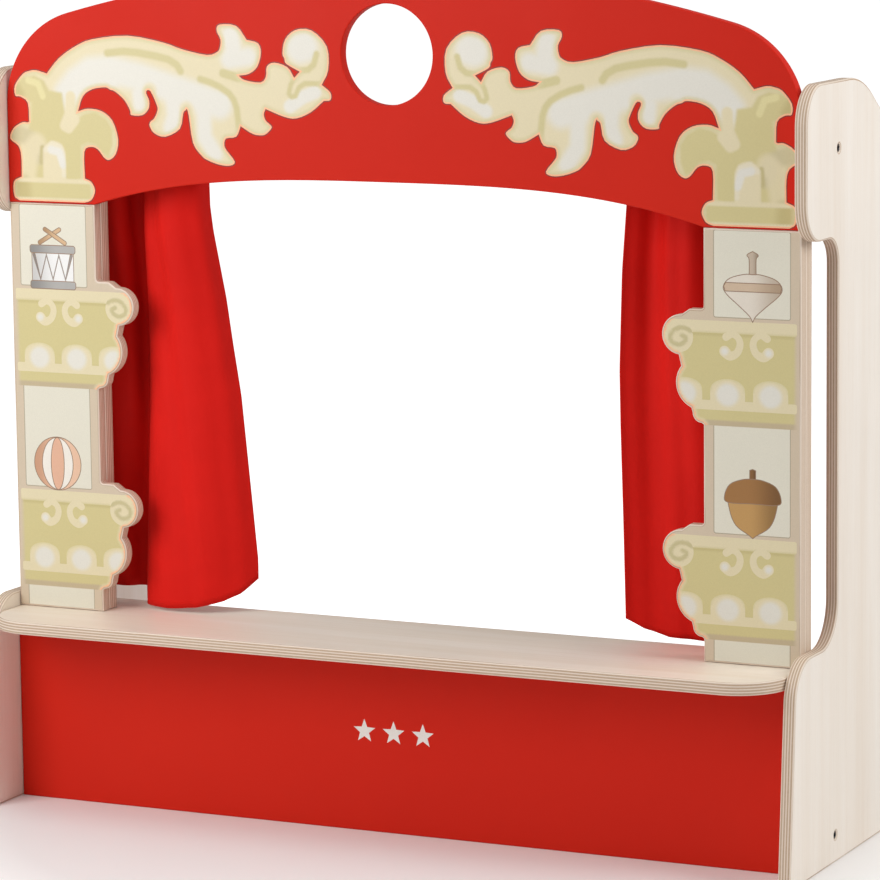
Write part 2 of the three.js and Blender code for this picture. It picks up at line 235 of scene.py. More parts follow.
def inset(loop: Array, distance: float) -> Array:
    """A closed outline moved to its left by a distance, along the mitre of each corner.

    Args:
        loop: The outline.
        distance: How far it moves to its left.

    Returns:
        The new outline's points.
    """
    edge = np.roll(loop, -1, axis=0) - loop
    edge = edge / np.linalg.norm(edge, axis=1, keepdims=True)
    normal = np.column_stack([-edge[:, 1], edge[:, 0]])
    before = np.roll(normal, 1, axis=0)
    spread = np.maximum(1 + np.sum(normal * before, axis=1, keepdims=True), LEAST_SPREAD)
    return loop + distance * (normal + before) / spread


def close_by(points: Array, path: Array, reach: float) -> Array:
    """The numbers of the points in the box round a path, widened by a reach."""
    low, high = path.min(axis=0) - reach, path.max(axis=0) + reach
    return np.flatnonzero(np.all((points >= low) & (points <= high), axis=1))


def divided(loop: Array, step: float) -> Array:
    """A closed outline whose long edges have points at even steps.

    Args:
        loop: The outline.
        step: The longest edge that is left whole.

    Returns:
        The new outline's points.
    """
    edge = np.roll(loop, -1, axis=0) - loop
    counts = np.maximum(np.ceil(np.linalg.norm(edge, axis=1) / step), 1).astype(int)
    number = np.arange(counts.sum()) - np.repeat(np.cumsum(counts) - counts, counts)
    step_along = np.repeat(edge / counts[:, None], counts, axis=0)
    return np.repeat(loop, counts, axis=0) + step_along * number[:, None]


def is_inside(points: Array, loop: Array) -> Array:
    """Which points lie in a closed outline: those whose ray crosses it an odd number of times.

    Args:
        points: The points, one to a row.
        loop: The outline.

    Returns:
        One answer for each point.
    """
    after = np.roll(loop, -1, axis=0)
    rise = after[:, 1] - loop[:, 1]
    slope = (after[:, 0] - loop[:, 0]) / np.where(rise == 0, 1, rise)
    answers = np.zeros(len(points), bool)
    near = close_by(points, loop, 0)
    for part in np.array_split(near, 1 + len(near) // BATCH):
        x, y = points[part, :1], points[part, 1:]
        crossed = (loop[:, 1] > y) != (after[:, 1] > y)
        answers[part] = np.sum(crossed & (x < loop[:, 0] + (y - loop[:, 1]) * slope), axis=1) % 2 == 1
    return answers


def distance_to(points: Array, path: Array, closed: bool = False) -> Array:
    """How far each point lies from a path: the least distance to any of its straight steps.

    Args:
        points: The points, one to a row.
        path: The path's points, or one point alone.
        closed: Whether the last point joins the first.

    Returns:
        One distance for each point.
    """
    line = np.vstack([path, path[:1]]) if closed or len(path) == 1 else path
    start, along = line[:-1], np.diff(line, axis=0)
    length = np.maximum(np.sum(along**2, axis=1), 1e-18)
    answers = []
    for part in np.array_split(points, 1 + len(points) // BATCH):
        offset = part[:, None] - start
        t = np.clip(np.sum(offset * along, axis=2) / length, 0, 1)
        answers.append(np.linalg.norm(offset - t[..., None] * along, axis=2).min(axis=1))
    return np.concatenate(answers)


# Meshes


@dataclass
class Skin:
    """What covers a mesh: its materials, which face has which, and its painted attributes."""

    materials: list[Material]
    face_material: Array | None = None
    corner_paint: Array | None = None
    layer: Array | None = None
    flow: Array | None = None


def new_piece(name: str, points: Array, faces: list[Array], skin: Skin, crease: float = 32.0) -> Piece:
    """A mesh object at the origin, made from whole arrays.

    Args:
        name: The piece's name.
        points: The vertices, one to a row.
        faces: Arrays of faces, each with its own number of corners.
        skin: The piece's materials and attributes.
        crease: The angle in degrees past which an edge is sharp.

    Returns:
        The object, linked to the scene.
    """
    mesh = bpy.data.meshes.new(name)
    mesh.from_pydata(points.tolist(), [], [face for group in faces for face in group.tolist()])
    for material in skin.materials:
        mesh.materials.append(material)
    if skin.face_material is not None:
        mesh.polygons.foreach_set("material_index", skin.face_material.astype(np.int32))
    if skin.corner_paint is not None:
        paint = mesh.attributes.new("paint", "FLOAT_COLOR", "CORNER")
        rows = np.column_stack([skin.corner_paint, np.ones(len(skin.corner_paint))])
        paint.data.foreach_set("color", rows.ravel().astype(np.float32))
    if skin.layer is not None:
        layer = mesh.attributes.new("layer", "FLOAT", "POINT")
        layer.data.foreach_set("value", skin.layer.astype(np.float32))
    if skin.flow is not None:
        uv = mesh.uv_layers.new(name="flow")
        corners = np.concatenate([group.ravel() for group in faces])
        uv.data.foreach_set("uv", skin.flow[corners].ravel().astype(np.float32))
    mesh.polygons.foreach_set("use_smooth", np.ones(len(mesh.polygons), bool))
    mesh.set_sharp_from_angle(angle=math.radians(crease))
    mesh.update()
    piece = bpy.data.objects.new(name, mesh)
    bpy.context.scene.collection.objects.link(piece)
    return piece


def grid_faces(rows: int, columns: int, wrap: bool = False) -> Array:
    """The four-cornered faces of a grid of points, numbered row by row.

    Args:
        rows: How many points run up the grid.
        columns: How many points run across it.
        wrap: Whether the last column joins the first.

    Returns:
        The faces, anticlockwise where columns run right and rows run up.
    """
    across = columns if wrap else columns - 1
    row, column = np.meshgrid(np.arange(rows - 1), np.arange(across), indexing="ij")
    near = row * columns + column
    far = row * columns + (column + 1) % columns
    return np.stack([near, far, far + columns, near + columns], axis=-1).reshape(-1, 4)


@dataclass(frozen=True)
class Region:
    """An area of a board's face that is printed: its outline and the colour at each of its points."""

    outline: Array
    tone: Tone


@dataclass(frozen=True)
class Plane:
    """Where a board lies: a corner, two directions across its face, and the way into the board."""

    origin: Array
    across: Array
    up: Array
    into: Array

    def place(self, flat: Array, depth: Array | float) -> Array:
        """Points of the face at their depth in the board, in the stand's frame."""
        deep = np.broadcast_to(depth, len(flat))
        return self.origin + flat[:, :1] * self.across + flat[:, 1:] * self.up + deep[:, None] * self.into

    @property
    def is_turned(self) -> bool:
        """Whether an anticlockwise outline looks clockwise from in front of the face."""
        return float(np.cross(self.across, self.up) @ self.into) > 0


@dataclass
class Board:
    """A flat board whose edges are rounded over, with printed areas on its front face.

    The outline carries a profile: a quarter circle at each face and a flat edge between them. Each
    face is filled with triangles, which are small where the board is printed.
    """

    name: str
    loops: list[Array]
    plane: Plane
    thickness: float
    face: Material
    edge: Material
    printed: Material | None = None
    regions: list[Region] = field(default_factory=list)
    print_step: float = 1.6 * MM
    spot_gap: float = 0.45
    edge_round: float = 1.5 * MM
    round_steps: int = 4
    rim: float = 0.3 * MM
    snap_mm: float = 1e-4

    def profile(self) -> Array:
        """The edge's profile: (inset, depth) from the front face round the edge to the back face."""
        quarter = arc((self.edge_round, self.edge_round), self.edge_round, -90, -180, self.round_steps)
        front = np.vstack([[self.edge_round + self.rim, 0], quarter])
        back = front[::-1] * [1, -1] + [0, self.thickness]
        return np.vstack([front, back])

    def spots(self, outer: Array, regions: list[Region], loops: list[Array]) -> Array:
        """A staggered grid of points in the outer outline's printed areas, clear of all the loops.

        Args:
            outer: The face's outer outline.
            regions: The printed areas.
            loops: The outlines to keep clear of.

        Returns:
            The points, one to a row.
        """
        low = np.min([region.outline.min(axis=0) for region in regions], axis=0)
        high = np.max([region.outline.max(axis=0) for region in regions], axis=0)
        x, y = (np.arange(low[axis], high[axis], self.print_step) for axis in (0, 1))
        spots = np.stack(np.meshgrid(x, y, indexing="ij"), axis=-1)
        spots[1::2, :, 1] += self.print_step / 2
        spots = spots.reshape(-1, 2)
        covered = np.any([is_inside(spots, region.outline) for region in regions], axis=0)
        spots = spots[covered & is_inside(spots, outer)]
        gap = self.spot_gap * self.print_step
        for loop in loops:
            near = close_by(spots, loop, gap)
            spots = np.delete(spots, near[distance_to(spots[near], loop, closed=True) < gap], axis=0)
        return spots

    def fill(self, rings: list[Array], regions: list[Region]) -> tuple[Array, Array, Array]:
        """Fills a face with triangles that follow its outlines and its printed areas.

        Args:
            rings: The face's outlines, the outer one first.
            regions: The printed areas.

        Returns:
            The points, the triangles, and for each triangle the number of the last area that covers
            it, or less than 0 where it isn't printed.
        """
        loops = [*rings, *(divided(region.outline, 2 * self.print_step) for region in regions)]
        spots = [self.spots(rings[0], regions, loops)] if regions else []
        runs = [np.arange(len(loop)) for loop in loops]
        starts = np.cumsum([0, *(len(loop) for loop in loops)])
        steps = [np.column_stack([run, np.roll(run, -1)]) for run in runs]
        edges = np.vstack([step + start for step, start in zip(steps, starts)])
        scaled = (np.vstack([*loops, *spots]) / MM).tolist()
        made = delaunay_2d_cdt(scaled, edges.tolist(), [], 0, self.snap_mm)
        flat = np.array(made[0]) * MM
        triangles = np.array(made[2])
        middle = flat[triangles].mean(axis=1)
        kept = is_inside(middle, rings[0])
        for hole in rings[1:]:
            kept &= ~is_inside(middle, hole)
        triangles, middle = triangles[kept], middle[kept]
        area = np.full(len(triangles), -1)
        for number, region in enumerate(regions):
            area[is_inside(middle, region.outline)] = number
        return flat, triangles, area

    def build(self) -> Piece:
        """Makes the board's mesh."""
        profile = self.profile()
        loops = [running(loop, anticlockwise=number == 0) for number, loop in enumerate(self.loops)]
        points, quads, layers = [], [], []
        count = 0
        for loop in loops:
            for distance, depth in profile:
                points.append(self.plane.place(inset(loop, distance), depth))
                layers.append(np.full(len(loop), depth / self.thickness))
            ring = grid_faces(len(profile), len(loop), wrap=True) + count
            quads.append(ring[:, ::-1])
            count += len(profile) * len(loop)
        triangles, areas, paints = [], [], []
        rims = [inset(loop, profile[0][0]) for loop in loops]
        for depth, regions in ((0.0, self.regions), (self.thickness, [])):
            flat, faces, area = self.fill(rims, regions)
            paint = np.ones((faces.size, 3))
            for number, region in enumerate(regions):
                corners = faces[area == number].ravel()
                used, back = np.unique(corners, return_inverse=True)
                paint[np.repeat(area == number, 3)] = region.tone(flat[used])[back]
            points.append(self.plane.place(flat, depth))
            layers.append(np.full(len(flat), depth / self.thickness))
            triangles.append((faces[:, ::-1] if depth > 0 else faces) + count)
            areas.append(area)
            paints.append(paint)
            count += len(flat)
        groups = [np.vstack(quads), np.vstack(triangles)]
        if self.plane.is_turned:
            groups = [group[:, ::-1] for group in groups]
            paints = [paint.reshape(-1, 3, 3)[:, ::-1].reshape(-1, 3) for paint in paints]
        area = np.concatenate(areas)
        kind = np.concatenate([np.ones(len(groups[0])), np.where(area >= 0, 2, 0)])
        materials = [self.face, self.edge] + ([self.printed] if self.printed else [])
        paint = np.vstack([np.ones((groups[0].size, 3)), *paints]) if self.regions else None
        skin = Skin(materials, kind, paint, np.concatenate(layers))
        return welded(new_piece(self.name, np.vstack(points), groups, skin))


def welded(piece: Piece) -> Piece:
    """Joins the points of a piece that lie on each other, so that its surface is closed.

    Args:
        piece: The piece.

    Returns:
        The same piece.
    """
    mesh = bmesh.new()
    mesh.from_mesh(piece.data)
    bmesh.ops.remove_doubles(mesh, verts=mesh.verts, dist=WELD)
    mesh.to_mesh(piece.data)
    mesh.free()
    return piece


def revolved(
    name: str,
    profile: Array,
    start: Array,
    direction: Array,
    materials: list[Material],
    steps: int = 48,
    shape: Callable[[Array, Array], Array] | None = None,
) -> Piece:
    """A turned form: a profile of (radius, height) carried round an axis.

    Each ring's points lie at its radius times the cosine and sine of evenly spaced angles, times
    what the shape gives there, such as a six-sided recess.

    Args:
        name: The piece's name.
        profile: The profile from the lower pole to the upper one, as (radius, height).
        start: Where height 0 lies.
        direction: The axis, a unit vector towards growing height.
        materials: The piece's materials.
        steps: How many points lie round the axis.
        shape: Gives a factor for each ring and angle, from the profile's rows and the angles.

    Returns:
        The object.
    """
    angles = np.arange(steps) * 2 * np.pi / steps
    side = np.cross(direction, [0, 0, 1] if abs(direction[2]) < 0.9 else [1, 0, 0])
    side = side / np.linalg.norm(side)
    other = np.cross(direction, side)
    factor = np.ones((len(profile), steps)) if shape is None else shape(profile, angles)
    radius = profile[:, :1] * factor
    ring = radius[..., None] * (np.cos(angles)[:, None] * side + np.sin(angles)[:, None] * other)
    points = (start + profile[:, 1, None, None] * direction + ring).reshape(-1, 3)
    low, high = len(points), len(points) + 1
    points = np.vstack([points, *(start + profile[end, 1] * direction for end in (0, -1))])
    around = np.arange(steps)
    after = np.roll(around, -1)
    last = (len(profile) - 1) * steps
    bottom = np.column_stack([np.full(steps, low), after, around])
    top = np.column_stack([np.full(steps, high), around + last, after + last])
    faces = [grid_faces(len(profile), steps, wrap=True), np.vstack([bottom, top])]
    return new_piece(name, points, faces, Skin(materials))


# Materials


class Nodes:
    """A short way to add and join nodes in one node tree."""

    def __init__(self, tree: Tree) -> None:
        """Keeps the tree."""
        self.tree = tree

    def add(self, kind: str, **values: object) -> bpy.types.Node:
        """Adds a node.

        Args:
            kind: The node's type, without the words ShaderNode.
            values: Settings, or inputs by name with _ for a space: a value, or a socket to join.

        Returns:
            The node.
        """
        node = self.tree.nodes.new(f"ShaderNode{kind}")
        sockets = {socket.name: socket for socket in reversed(node.inputs.values())}
        for key, value in values.items():
            name = key.replace("_", " ")
            if name in sockets:
                self.feed(sockets[name], value)
            else:
                setattr(node, key, value)
        return node

    def feed(self, socket: Socket, value: object) -> None:
        """Sets an input, or joins it to an output.

        Args:
            socket: The input.
            value: A number, a row of numbers, or the output to join.
        """
        if isinstance(value, Socket):
            self.tree.links.new(value, socket)
        elif isinstance(value, np.ndarray):
            socket.default_value = (*value.tolist(), 1.0) if socket.type == "RGBA" else value.tolist()
        else:
            socket.default_value = value

    def math(self, operation: str, *inputs: object, kind: str = "Math") -> Socket:
        """A Math node's result, or a Vector Math node's.

        Args:
            operation: What the node does.
            inputs: Values, or outputs to join.
            kind: The node's type, without the words ShaderNode.

        Returns:
            The node's first output.
        """
        node = self.tree.nodes.new(f"ShaderNode{kind}")
        node.operation = operation
        for socket, value in zip(node.inputs, inputs):
            self.feed(socket, value)
        return node.outputs[0]

    def times(self, first: object, second: object) -> Socket:
        """The product of two values."""
        return self.math("MULTIPLY", first, second)

    def blend(self, share: object, first: object, second: object, way: str = "MIX") -> Socket:
        """A Mix Color node's result.

        Args:
            share: How much of the second colour there is.
            first: The first colour.
            second: The second colour.
            way: The node's blend type.

        Returns:
            The mixed colour.
        """
        node = self.tree.nodes.new("ShaderNodeMix")
        node.data_type = "RGBA"
        node.blend_type = way
        colours = [socket for socket in node.inputs if socket.type == "RGBA"]
        for socket, value in zip((node.inputs[0], *colours), (share, first, second)):
            self.feed(socket, value)
        return next(socket for socket in node.outputs if socket.type == "RGBA")

    def ramp(self, value: object, low: float, high: float, start: float = 0.0, end: float = 1.0) -> Socket:
        """A value mapped from one range to another, and kept inside it."""
        limits = {"From_Min": low, "From_Max": high, "To_Min": start, "To_Max": end}
        return self.add("MapRange", clamp=True, Value=value, **limits).outputs[0]

    def grey(self, value: Socket) -> Socket:
        """A colour whose three parts are one value."""
        return self.add("CombineColor", Red=value, Green=value, Blue=value).outputs[0]

    def noise(self, vector: object, scale: float, detail: float, rough: float = 0.5) -> Socket:
        """A Noise Texture's value."""
        return self.add("TexNoise", Vector=vector, Scale=scale, Detail=detail, Roughness=rough).outputs[0]

    def stretched(self, vector: object, scale: tuple[float, float, float]) -> Socket:
        """Coordinates times a factor along each axis."""
        return self.add("Mapping", Vector=vector, Scale=scale).outputs[0]


class Group:
    """A shader node group with named inputs and outputs, built once."""

    def __init__(self, name: str, inputs: dict[str, float | None], outputs: Sequence[str]) -> None:
        """Makes the group's tree and its sockets.

        Args:
            name: The group's name.
            inputs: Each input's name and first value: a number, or None for a vector.
            outputs: The names of the values that it puts out.
        """
        self.tree = bpy.data.node_groups.new(name, "ShaderNodeTree")
        for key, value in inputs.items():
            kind = "NodeSocketVector" if value is None else "NodeSocketFloat"
            socket = self.tree.interface.new_socket(key, in_out="INPUT", socket_type=kind)
            if value is not None:
                socket.default_value = value
        for key in outputs:
            self.tree.interface.new_socket(key, in_out="OUTPUT", socket_type="NodeSocketFloat")
        self.nodes = Nodes(self.tree)
        self.input = self.tree.nodes.new("NodeGroupInput").outputs
        self.output = self.tree.nodes.new("NodeGroupOutput").inputs

    def finish(self, **values: Socket) -> Tree:
        """Joins the group's outputs by name."""
        for key, value in values.items():
            self.tree.links.new(value, self.output[key])
        return self.tree


def wood_grain() -> Tree:
    """Wood grain: long soft streaks, a slow cloudy figure and short fine pores, all along Z.

    Returns:
        A group with the input Vector and the outputs Streaks, Figure and Pores.
    """
    looks = {
        "Streaks": ((190, 190, 5), 5.0, 0.6, 0.35, 0.7),
        "Figure": ((28, 28, 1.6), 3.0, 0.55, 0.32, 0.68),
        "Pores": ((900, 900, 60), 2.0, 0.5, 0.6, 0.72),
    }
    group = Group("wood grain", {"Vector": None}, list(looks))
    nodes, vector = group.nodes, group.input["Vector"]
    bend = nodes.add("TexNoise", Vector=nodes.stretched(vector, (3, 3, 1.2)), Scale=1.0, Detail=1.0)
    shift = nodes.add("VectorMath", operation="SCALE", Scale=0.035)
    nodes.feed(shift.inputs[0], bend.outputs["Color"])
    bent = nodes.math("ADD", vector, shift.outputs[0], kind="VectorMath")
    masks = {}
    for name, (scale, detail, rough, low, high) in looks.items():
        masks[name] = nodes.ramp(nodes.noise(nodes.stretched(bent, scale), 1.0, detail, rough), low, high)
    return group.finish(**masks)


def ply_layers() -> Tree:
    """The veneers in the edge of plywood, from how deep in the board a point lies.

    Returns:
        A group with the inputs Layer, Plies and Wander and the outputs Cross and Glue.
    """
    group = Group("ply layers", {"Layer": 0.5, "Plies": 9.0, "Wander": 0.0}, ["Cross", "Glue"])
    nodes, inputs = group.nodes, group.input
    depth = nodes.math("ADD", inputs["Layer"], inputs["Wander"])
    count = nodes.times(depth, inputs["Plies"])
    half = nodes.math("FRACT", nodes.times(count, 0.5))
    cross = nodes.ramp(nodes.math("ABSOLUTE", nodes.math("SUBTRACT", half, 0.75)), 0.22, 0.28, 1.0, 0.0)
    to_line = nodes.math("ABSOLUTE", nodes.math("SUBTRACT", nodes.math("FRACT", count), 0.5))
    return group.finish(Cross=cross, Glue=nodes.ramp(to_line, 0.32, 0.49))


def handling() -> Tree:
    """Slow smudges and fine dust that change how a surface shines.

    Returns:
        A group with the input Vector and the outputs Smudge and Speck.
    """
    group = Group("handling", {"Vector": None}, ["Smudge", "Speck"])
    nodes, vector = group.nodes, group.input["Vector"]
    smudge = nodes.noise(vector, 11.0, 4.0, 0.55)
    speck = nodes.noise(vector, 1400.0, 2.0)
    return group.finish(Smudge=nodes.ramp(smudge, 0.3, 0.7), Speck=nodes.ramp(speck, 0.3, 0.7))


GRAIN = wood_grain()
PLIES = ply_layers()
HANDLING = handling()


class Axis(Enum):
    """The way that the grain of a piece runs, as the turn that brings it to Z."""

    X = (0.0, math.pi / 2, 0.0)
    Z = (0.0, 0.0, 0.0)


class Coat:
    """A new material with only its shader, its nodes and the object's coordinates."""

    def __init__(self, name: str, look: str) -> None:
        """Makes the material.

        Args:
            name: The material's name.
            look: The colour for Blender's solid view, as six hexadecimal digits.
        """
        self.material = bpy.data.materials.new(name)
        self.material.use_nodes = True
        self.material.diffuse_color = (*linear(look).tolist(), 1.0)
        self.nodes = Nodes(self.material.node_tree)
        self.inputs = self.material.node_tree.nodes["Principled BSDF"].inputs
        self.place = self.nodes.add("TexCoord").outputs["Object"]

    def group(self, tree: Tree, **values: object) -> dict[str, Socket]:
        """The outputs by name of a shared group, placed in the material with its own values.

        Args:
            tree: The group.
            values: Its inputs by name.

        Returns:
            The outputs.
        """
        node = self.nodes.tree.nodes.new("ShaderNodeGroup")
        node.node_tree = tree
        for key, value in values.items():
            self.nodes.feed(node.inputs[key], value)
        return dict(node.outputs.items())

    def handled(self) -> dict[str, Socket]:
        """The smudges and the dust at each point."""
        return self.group(HANDLING, Vector=self.place)

    def put(self, **values: object) -> None:
        """Sets or joins the shader's inputs, by name with _ for a space."""
        for key, value in values.items():
            self.nodes.feed(self.inputs[key.replace("_", " ")], value)

    def rough(self, mask: Socket, ends: Pair) -> None:
        """Lets the roughness run from one end to the other with a mask."""
        self.put(Roughness=self.nodes.ramp(mask, 0.0, 1.0, *ends))

    def relief(self, height: Socket, strength: float, depth: float) -> None:
        """Gives the surface a fine relief."""
        bump = self.nodes.add("Bump", Strength=strength, Distance=depth, Height=height)
        self.put(Normal=bump.outputs[0])


@dataclass(frozen=True)
class Wood:
    """A bare or clear-lacquered wood face, with its grain along one axis."""

    name: str
    pale: str
    dark: str
    grain: Axis
    roughness: Pair = (0.36, 0.5)
    figure: float = 0.5
    streak: float = 0.22
    pores: float = 0.1
    pore_shade: float = 0.6
    pore_depth: float = -0.6
    relief: Pair = (0.25, 0.4 * MM)

    def material(self) -> Material:
        """Builds the finish."""
        coat = Coat(self.name, self.pale)
        nodes = coat.nodes
        turned = nodes.add("Mapping", Vector=coat.place, Rotation=self.grain.value).outputs[0]
        grain = coat.group(GRAIN, Vector=turned)
        figured = nodes.times(grain["Figure"], self.figure)
        share = nodes.math("ADD", figured, nodes.times(grain["Streaks"], self.streak))
        colour = nodes.blend(share, linear(self.pale), linear(self.dark))
        pores = nodes.times(grain["Pores"], self.pores)
        coat.put(Base_Color=nodes.blend(pores, colour, linear(self.dark) * self.pore_shade))
        coat.rough(coat.handled()["Smudge"], self.roughness)
        height = nodes.math("ADD", grain["Streaks"], nodes.times(grain["Pores"], self.pore_depth))
        coat.relief(height, *self.relief)
        return coat.material


@dataclass(frozen=True)
class PlyEdge:
    """The sanded edge of birch plywood, whose veneers run by turns along and across."""

    name: str
    along: str = "ecdccb"
    across: str = "ccb096"
    glue: str = "a58768"
    plies: float = 9.0
    wander: float = 0.012
    glue_share: float = 0.45
    fleck_share: float = 0.35
    glue_depth: float = 0.5
    roughness: Pair = (0.48, 0.66)
    relief: Pair = (0.3, 0.4 * MM)

    def material(self) -> Material:
        """Builds the finish."""
        coat = Coat(self.name, self.along)
        nodes, glue = coat.nodes, linear(self.glue)
        layer = nodes.add("Attribute", attribute_name="layer").outputs["Fac"]
        wander = nodes.ramp(nodes.noise(coat.place, 9.0, 2.0), 0.3, 0.7, -self.wander, self.wander)
        plies = coat.group(PLIES, Layer=layer, Plies=self.plies, Wander=wander)
        fibre = nodes.noise(coat.place, 420.0, 4.0, 0.65)
        colour = nodes.blend(plies["Cross"], linear(self.along), linear(self.across))
        fleck = nodes.ramp(fibre, 0.3, 0.75, 0.0, self.fleck_share)
        colour = nodes.blend(nodes.times(fleck, plies["Cross"]), colour, glue)
        colour = nodes.blend(nodes.times(plies["Glue"], self.glue_share), colour, glue)
        coat.put(Base_Color=colour)
        coat.rough(plies["Cross"], self.roughness)
        height = nodes.math("SUBTRACT", fibre, nodes.times(plies["Glue"], self.glue_depth))
        coat.relief(height, *self.relief)
        return coat.material


@dataclass(frozen=True)
class Lacquer:
    """Satin lacquer rolled on a board: even colour, a faint peel and a little handling."""

    name: str
    colour: str
    deep: str
    deep_share: float = 0.5
    roughness: Pair = (0.38, 0.49)
    specular: float = 0.11
    relief: Pair = (0.12, 0.3 * MM)

    def material(self) -> Material:
        """Builds the finish."""
        coat = Coat(self.name, self.colour)
        nodes = coat.nodes
        share = nodes.ramp(nodes.noise(coat.place, 5.0, 3.0), 0.3, 0.7, 0.0, self.deep_share)
        coat.put(Base_Color=nodes.blend(share, linear(self.colour), linear(self.deep)))
        coat.rough(coat.handled()["Smudge"], self.roughness)
        coat.put(Specular_IOR_Level=self.specular)
        coat.relief(nodes.noise(coat.place, 520.0, 2.0), *self.relief)
        return coat.material


@dataclass(frozen=True)
class PrintedPaint:
    """Printed colours under a clear satin coat: the board's own paint attribute, with a fine screen."""

    name: str = "printed paint"
    look: str = "e4d8ae"
    roughness: Pair = (0.33, 0.44)
    screen: float = 0.94
    relief: Pair = (0.08, 0.2 * MM)

    def material(self) -> Material:
        """Builds the finish."""
        coat = Coat(self.name, self.look)
        nodes, dust = coat.nodes, coat.handled()
        paint = nodes.add("Attribute", attribute_name="paint").outputs["Color"]
        tint = nodes.grey(nodes.ramp(dust["Speck"], 0.0, 1.0, self.screen, 1.0))
        coat.put(Base_Color=nodes.blend(1.0, paint, tint, "MULTIPLY"))
        coat.rough(dust["Smudge"], self.roughness)
        coat.relief(dust["Speck"], *self.relief)
        return coat.material


@dataclass(frozen=True)
class CurtainCloth:
    """Smooth red cotton satin: a fine weave along the cloth's own flow, with a soft sheen."""

    name: str = "curtain cloth"
    colour: str = "e01d15"
    deep: str = "cd1711"
    deep_share: float = 0.55
    thread_pitch: Pair = (0.45 * MM, 0.6 * MM)
    thread_height: float = 0.3
    roughness: Pair = (0.62, 0.74)
    specular: float = 0.12
    sheen: float = 0.06
    sheen_roughness: float = 0.4
    sheen_tint: tuple[float, float, float, float] = (1.0, 0.12, 0.08, 1.0)
    relief: Pair = (0.15, 0.3 * MM)

    def material(self) -> Material:
        """Builds the finish."""
        coat = Coat(self.name, self.colour)
        nodes = coat.nodes
        flow = nodes.add("UVMap", uv_map="flow").outputs[0]
        axes = nodes.add("SeparateXYZ", Vector=flow).outputs
        across, along = (
            nodes.math("SINE", nodes.times(axes[axis], 2 * math.pi / pitch))
            for axis, pitch in zip("XY", self.thread_pitch)
        )
        slub = nodes.noise(nodes.stretched(flow, (600, 25, 1)), 1.0, 3.0)
        share = nodes.ramp(nodes.noise(flow, 14.0, 3.0), 0.3, 0.7, 0.0, self.deep_share)
        coat.put(
            Base_Color=nodes.blend(share, linear(self.colour), linear(self.deep)),
            Roughness=nodes.ramp(slub, 0.3, 0.7, *self.roughness),
            Specular_IOR_Level=self.specular,
            Sheen_Weight=self.sheen,
            Sheen_Roughness=self.sheen_roughness,
            Sheen_Tint=self.sheen_tint,
        )
        weave = nodes.times(nodes.times(across, along), self.thread_height)
        coat.relief(nodes.math("ADD", weave, slub), *self.relief)
        return coat.material


@dataclass(frozen=True)
class Steel:
    """Turned or blackened steel with fine marks."""

    name: str
    colour: str
    roughness: Pair
    dull_share: float = 0.4
    dull_shade: float = 0.6
    relief: Pair = (0.1, 0.1 * MM)

    def material(self) -> Material:
        """Builds the finish."""
        coat = Coat(self.name, self.colour)
        nodes, speck = coat.nodes, coat.handled()["Speck"]
        colour, share = linear(self.colour), nodes.times(speck, self.dull_share)
        coat.put(Base_Color=nodes.blend(share, colour, colour * self.dull_shade), Metallic=1.0)
        coat.rough(speck, self.roughness)
        coat.relief(speck, *self.relief)
        return coat.material


@dataclass(frozen=True)
class Finishes:
    """Every finish of the stand, each built once."""

    birch_upright: Material
    birch_level: Material
    ply_edge: Material
    red: Material
    printed: Material
    beech_level: Material
    beech_upright: Material
    cloth: Material
    dark_steel: Material
    bright_steel: Material


def mix_finishes() -> Finishes:
    """Builds the finishes."""
    beech = ("dcb98c", "c09566")
    beech_grain = ((0.44, 0.58), 0.4, 0.4, 0.4)
    return Finishes(
        birch_upright=Wood("birch upright", "f9f1e7", "ecddcc", Axis.Z).material(),
        birch_level=Wood("birch level", "f6ebde", "e8d6c0", Axis.X).material(),
        ply_edge=PlyEdge("ply edge").material(),
        red=Lacquer("red lacquer", "d42716", "cc2213").material(),
        printed=PrintedPaint().material(),
        beech_level=Wood("beech level", *beech, Axis.X, *beech_grain).material(),
        beech_upright=Wood("beech upright", *beech, Axis.Z, *beech_grain).material(),
        cloth=CurtainCloth().material(),
        dark_steel=Steel("blackened steel", "3a3a3e", (0.3, 0.48)).material(),
        bright_steel=Steel("zinc-plated steel", "b8bac0", (0.22, 0.4)).material(),
    )


# The print


CONTOUR = 1.1 * MM
TOY_CONTOUR = 0.8 * MM
CREAM, PALE, OLIVE, DEEP_OLIVE = "e9dcb6", "eae6da", "d8cb92", "c5b67c"
PEACH, BROWN, TAN, EDGE_OLIVE = "ffc094", "8f1206", "d9c7ae", "dccf9e"


def sized(*points: Pair) -> Array:
    """Points given in millimetres, as metres, one to a row."""
    return np.array(points, dtype=float) * MM


@dataclass(frozen=True)
class Wash:
    """A soft patch or stroke of one colour: full near its path, and gone a little further out."""

    path: Array
    colour: str
    radius: float
    soft: float
    filled: bool = False
    strength: float = 1.0

    def share(self, points: Array) -> Array:
        """How much of the wash each point has.

        Args:
            points: The points, one to a row.

        Returns:
            One share for each point.
        """
        share = np.zeros(len(points))
        near = close_by(points, self.path, (self.radius + self.soft) * MM)
        distance = distance_to(points[near], self.path, closed=self.filled)
        if self.filled:
            distance = np.where(is_inside(points[near], self.path), 0, distance)
        share[near] = self.strength * (1 - soft_step(distance / MM, self.radius, self.radius + self.soft))
        return share


def washed(base: str | Tone, *washes: Wash) -> Tone:
    """A colour or another tone under washes, each over the last.

    Args:
        base: The colour as six hexadecimal digits, or the tone.
        washes: The washes.

    Returns:
        The tone of them all.
    """

    def tone(points: Array) -> Array:
        """The colour at each point."""
        colours = base(points) if callable(base) else np.tile(linear(base), (len(points), 1))
        for wash in washes:
            colours = mix(colours, linear(wash.colour), wash.share(points))
        return colours

    return tone


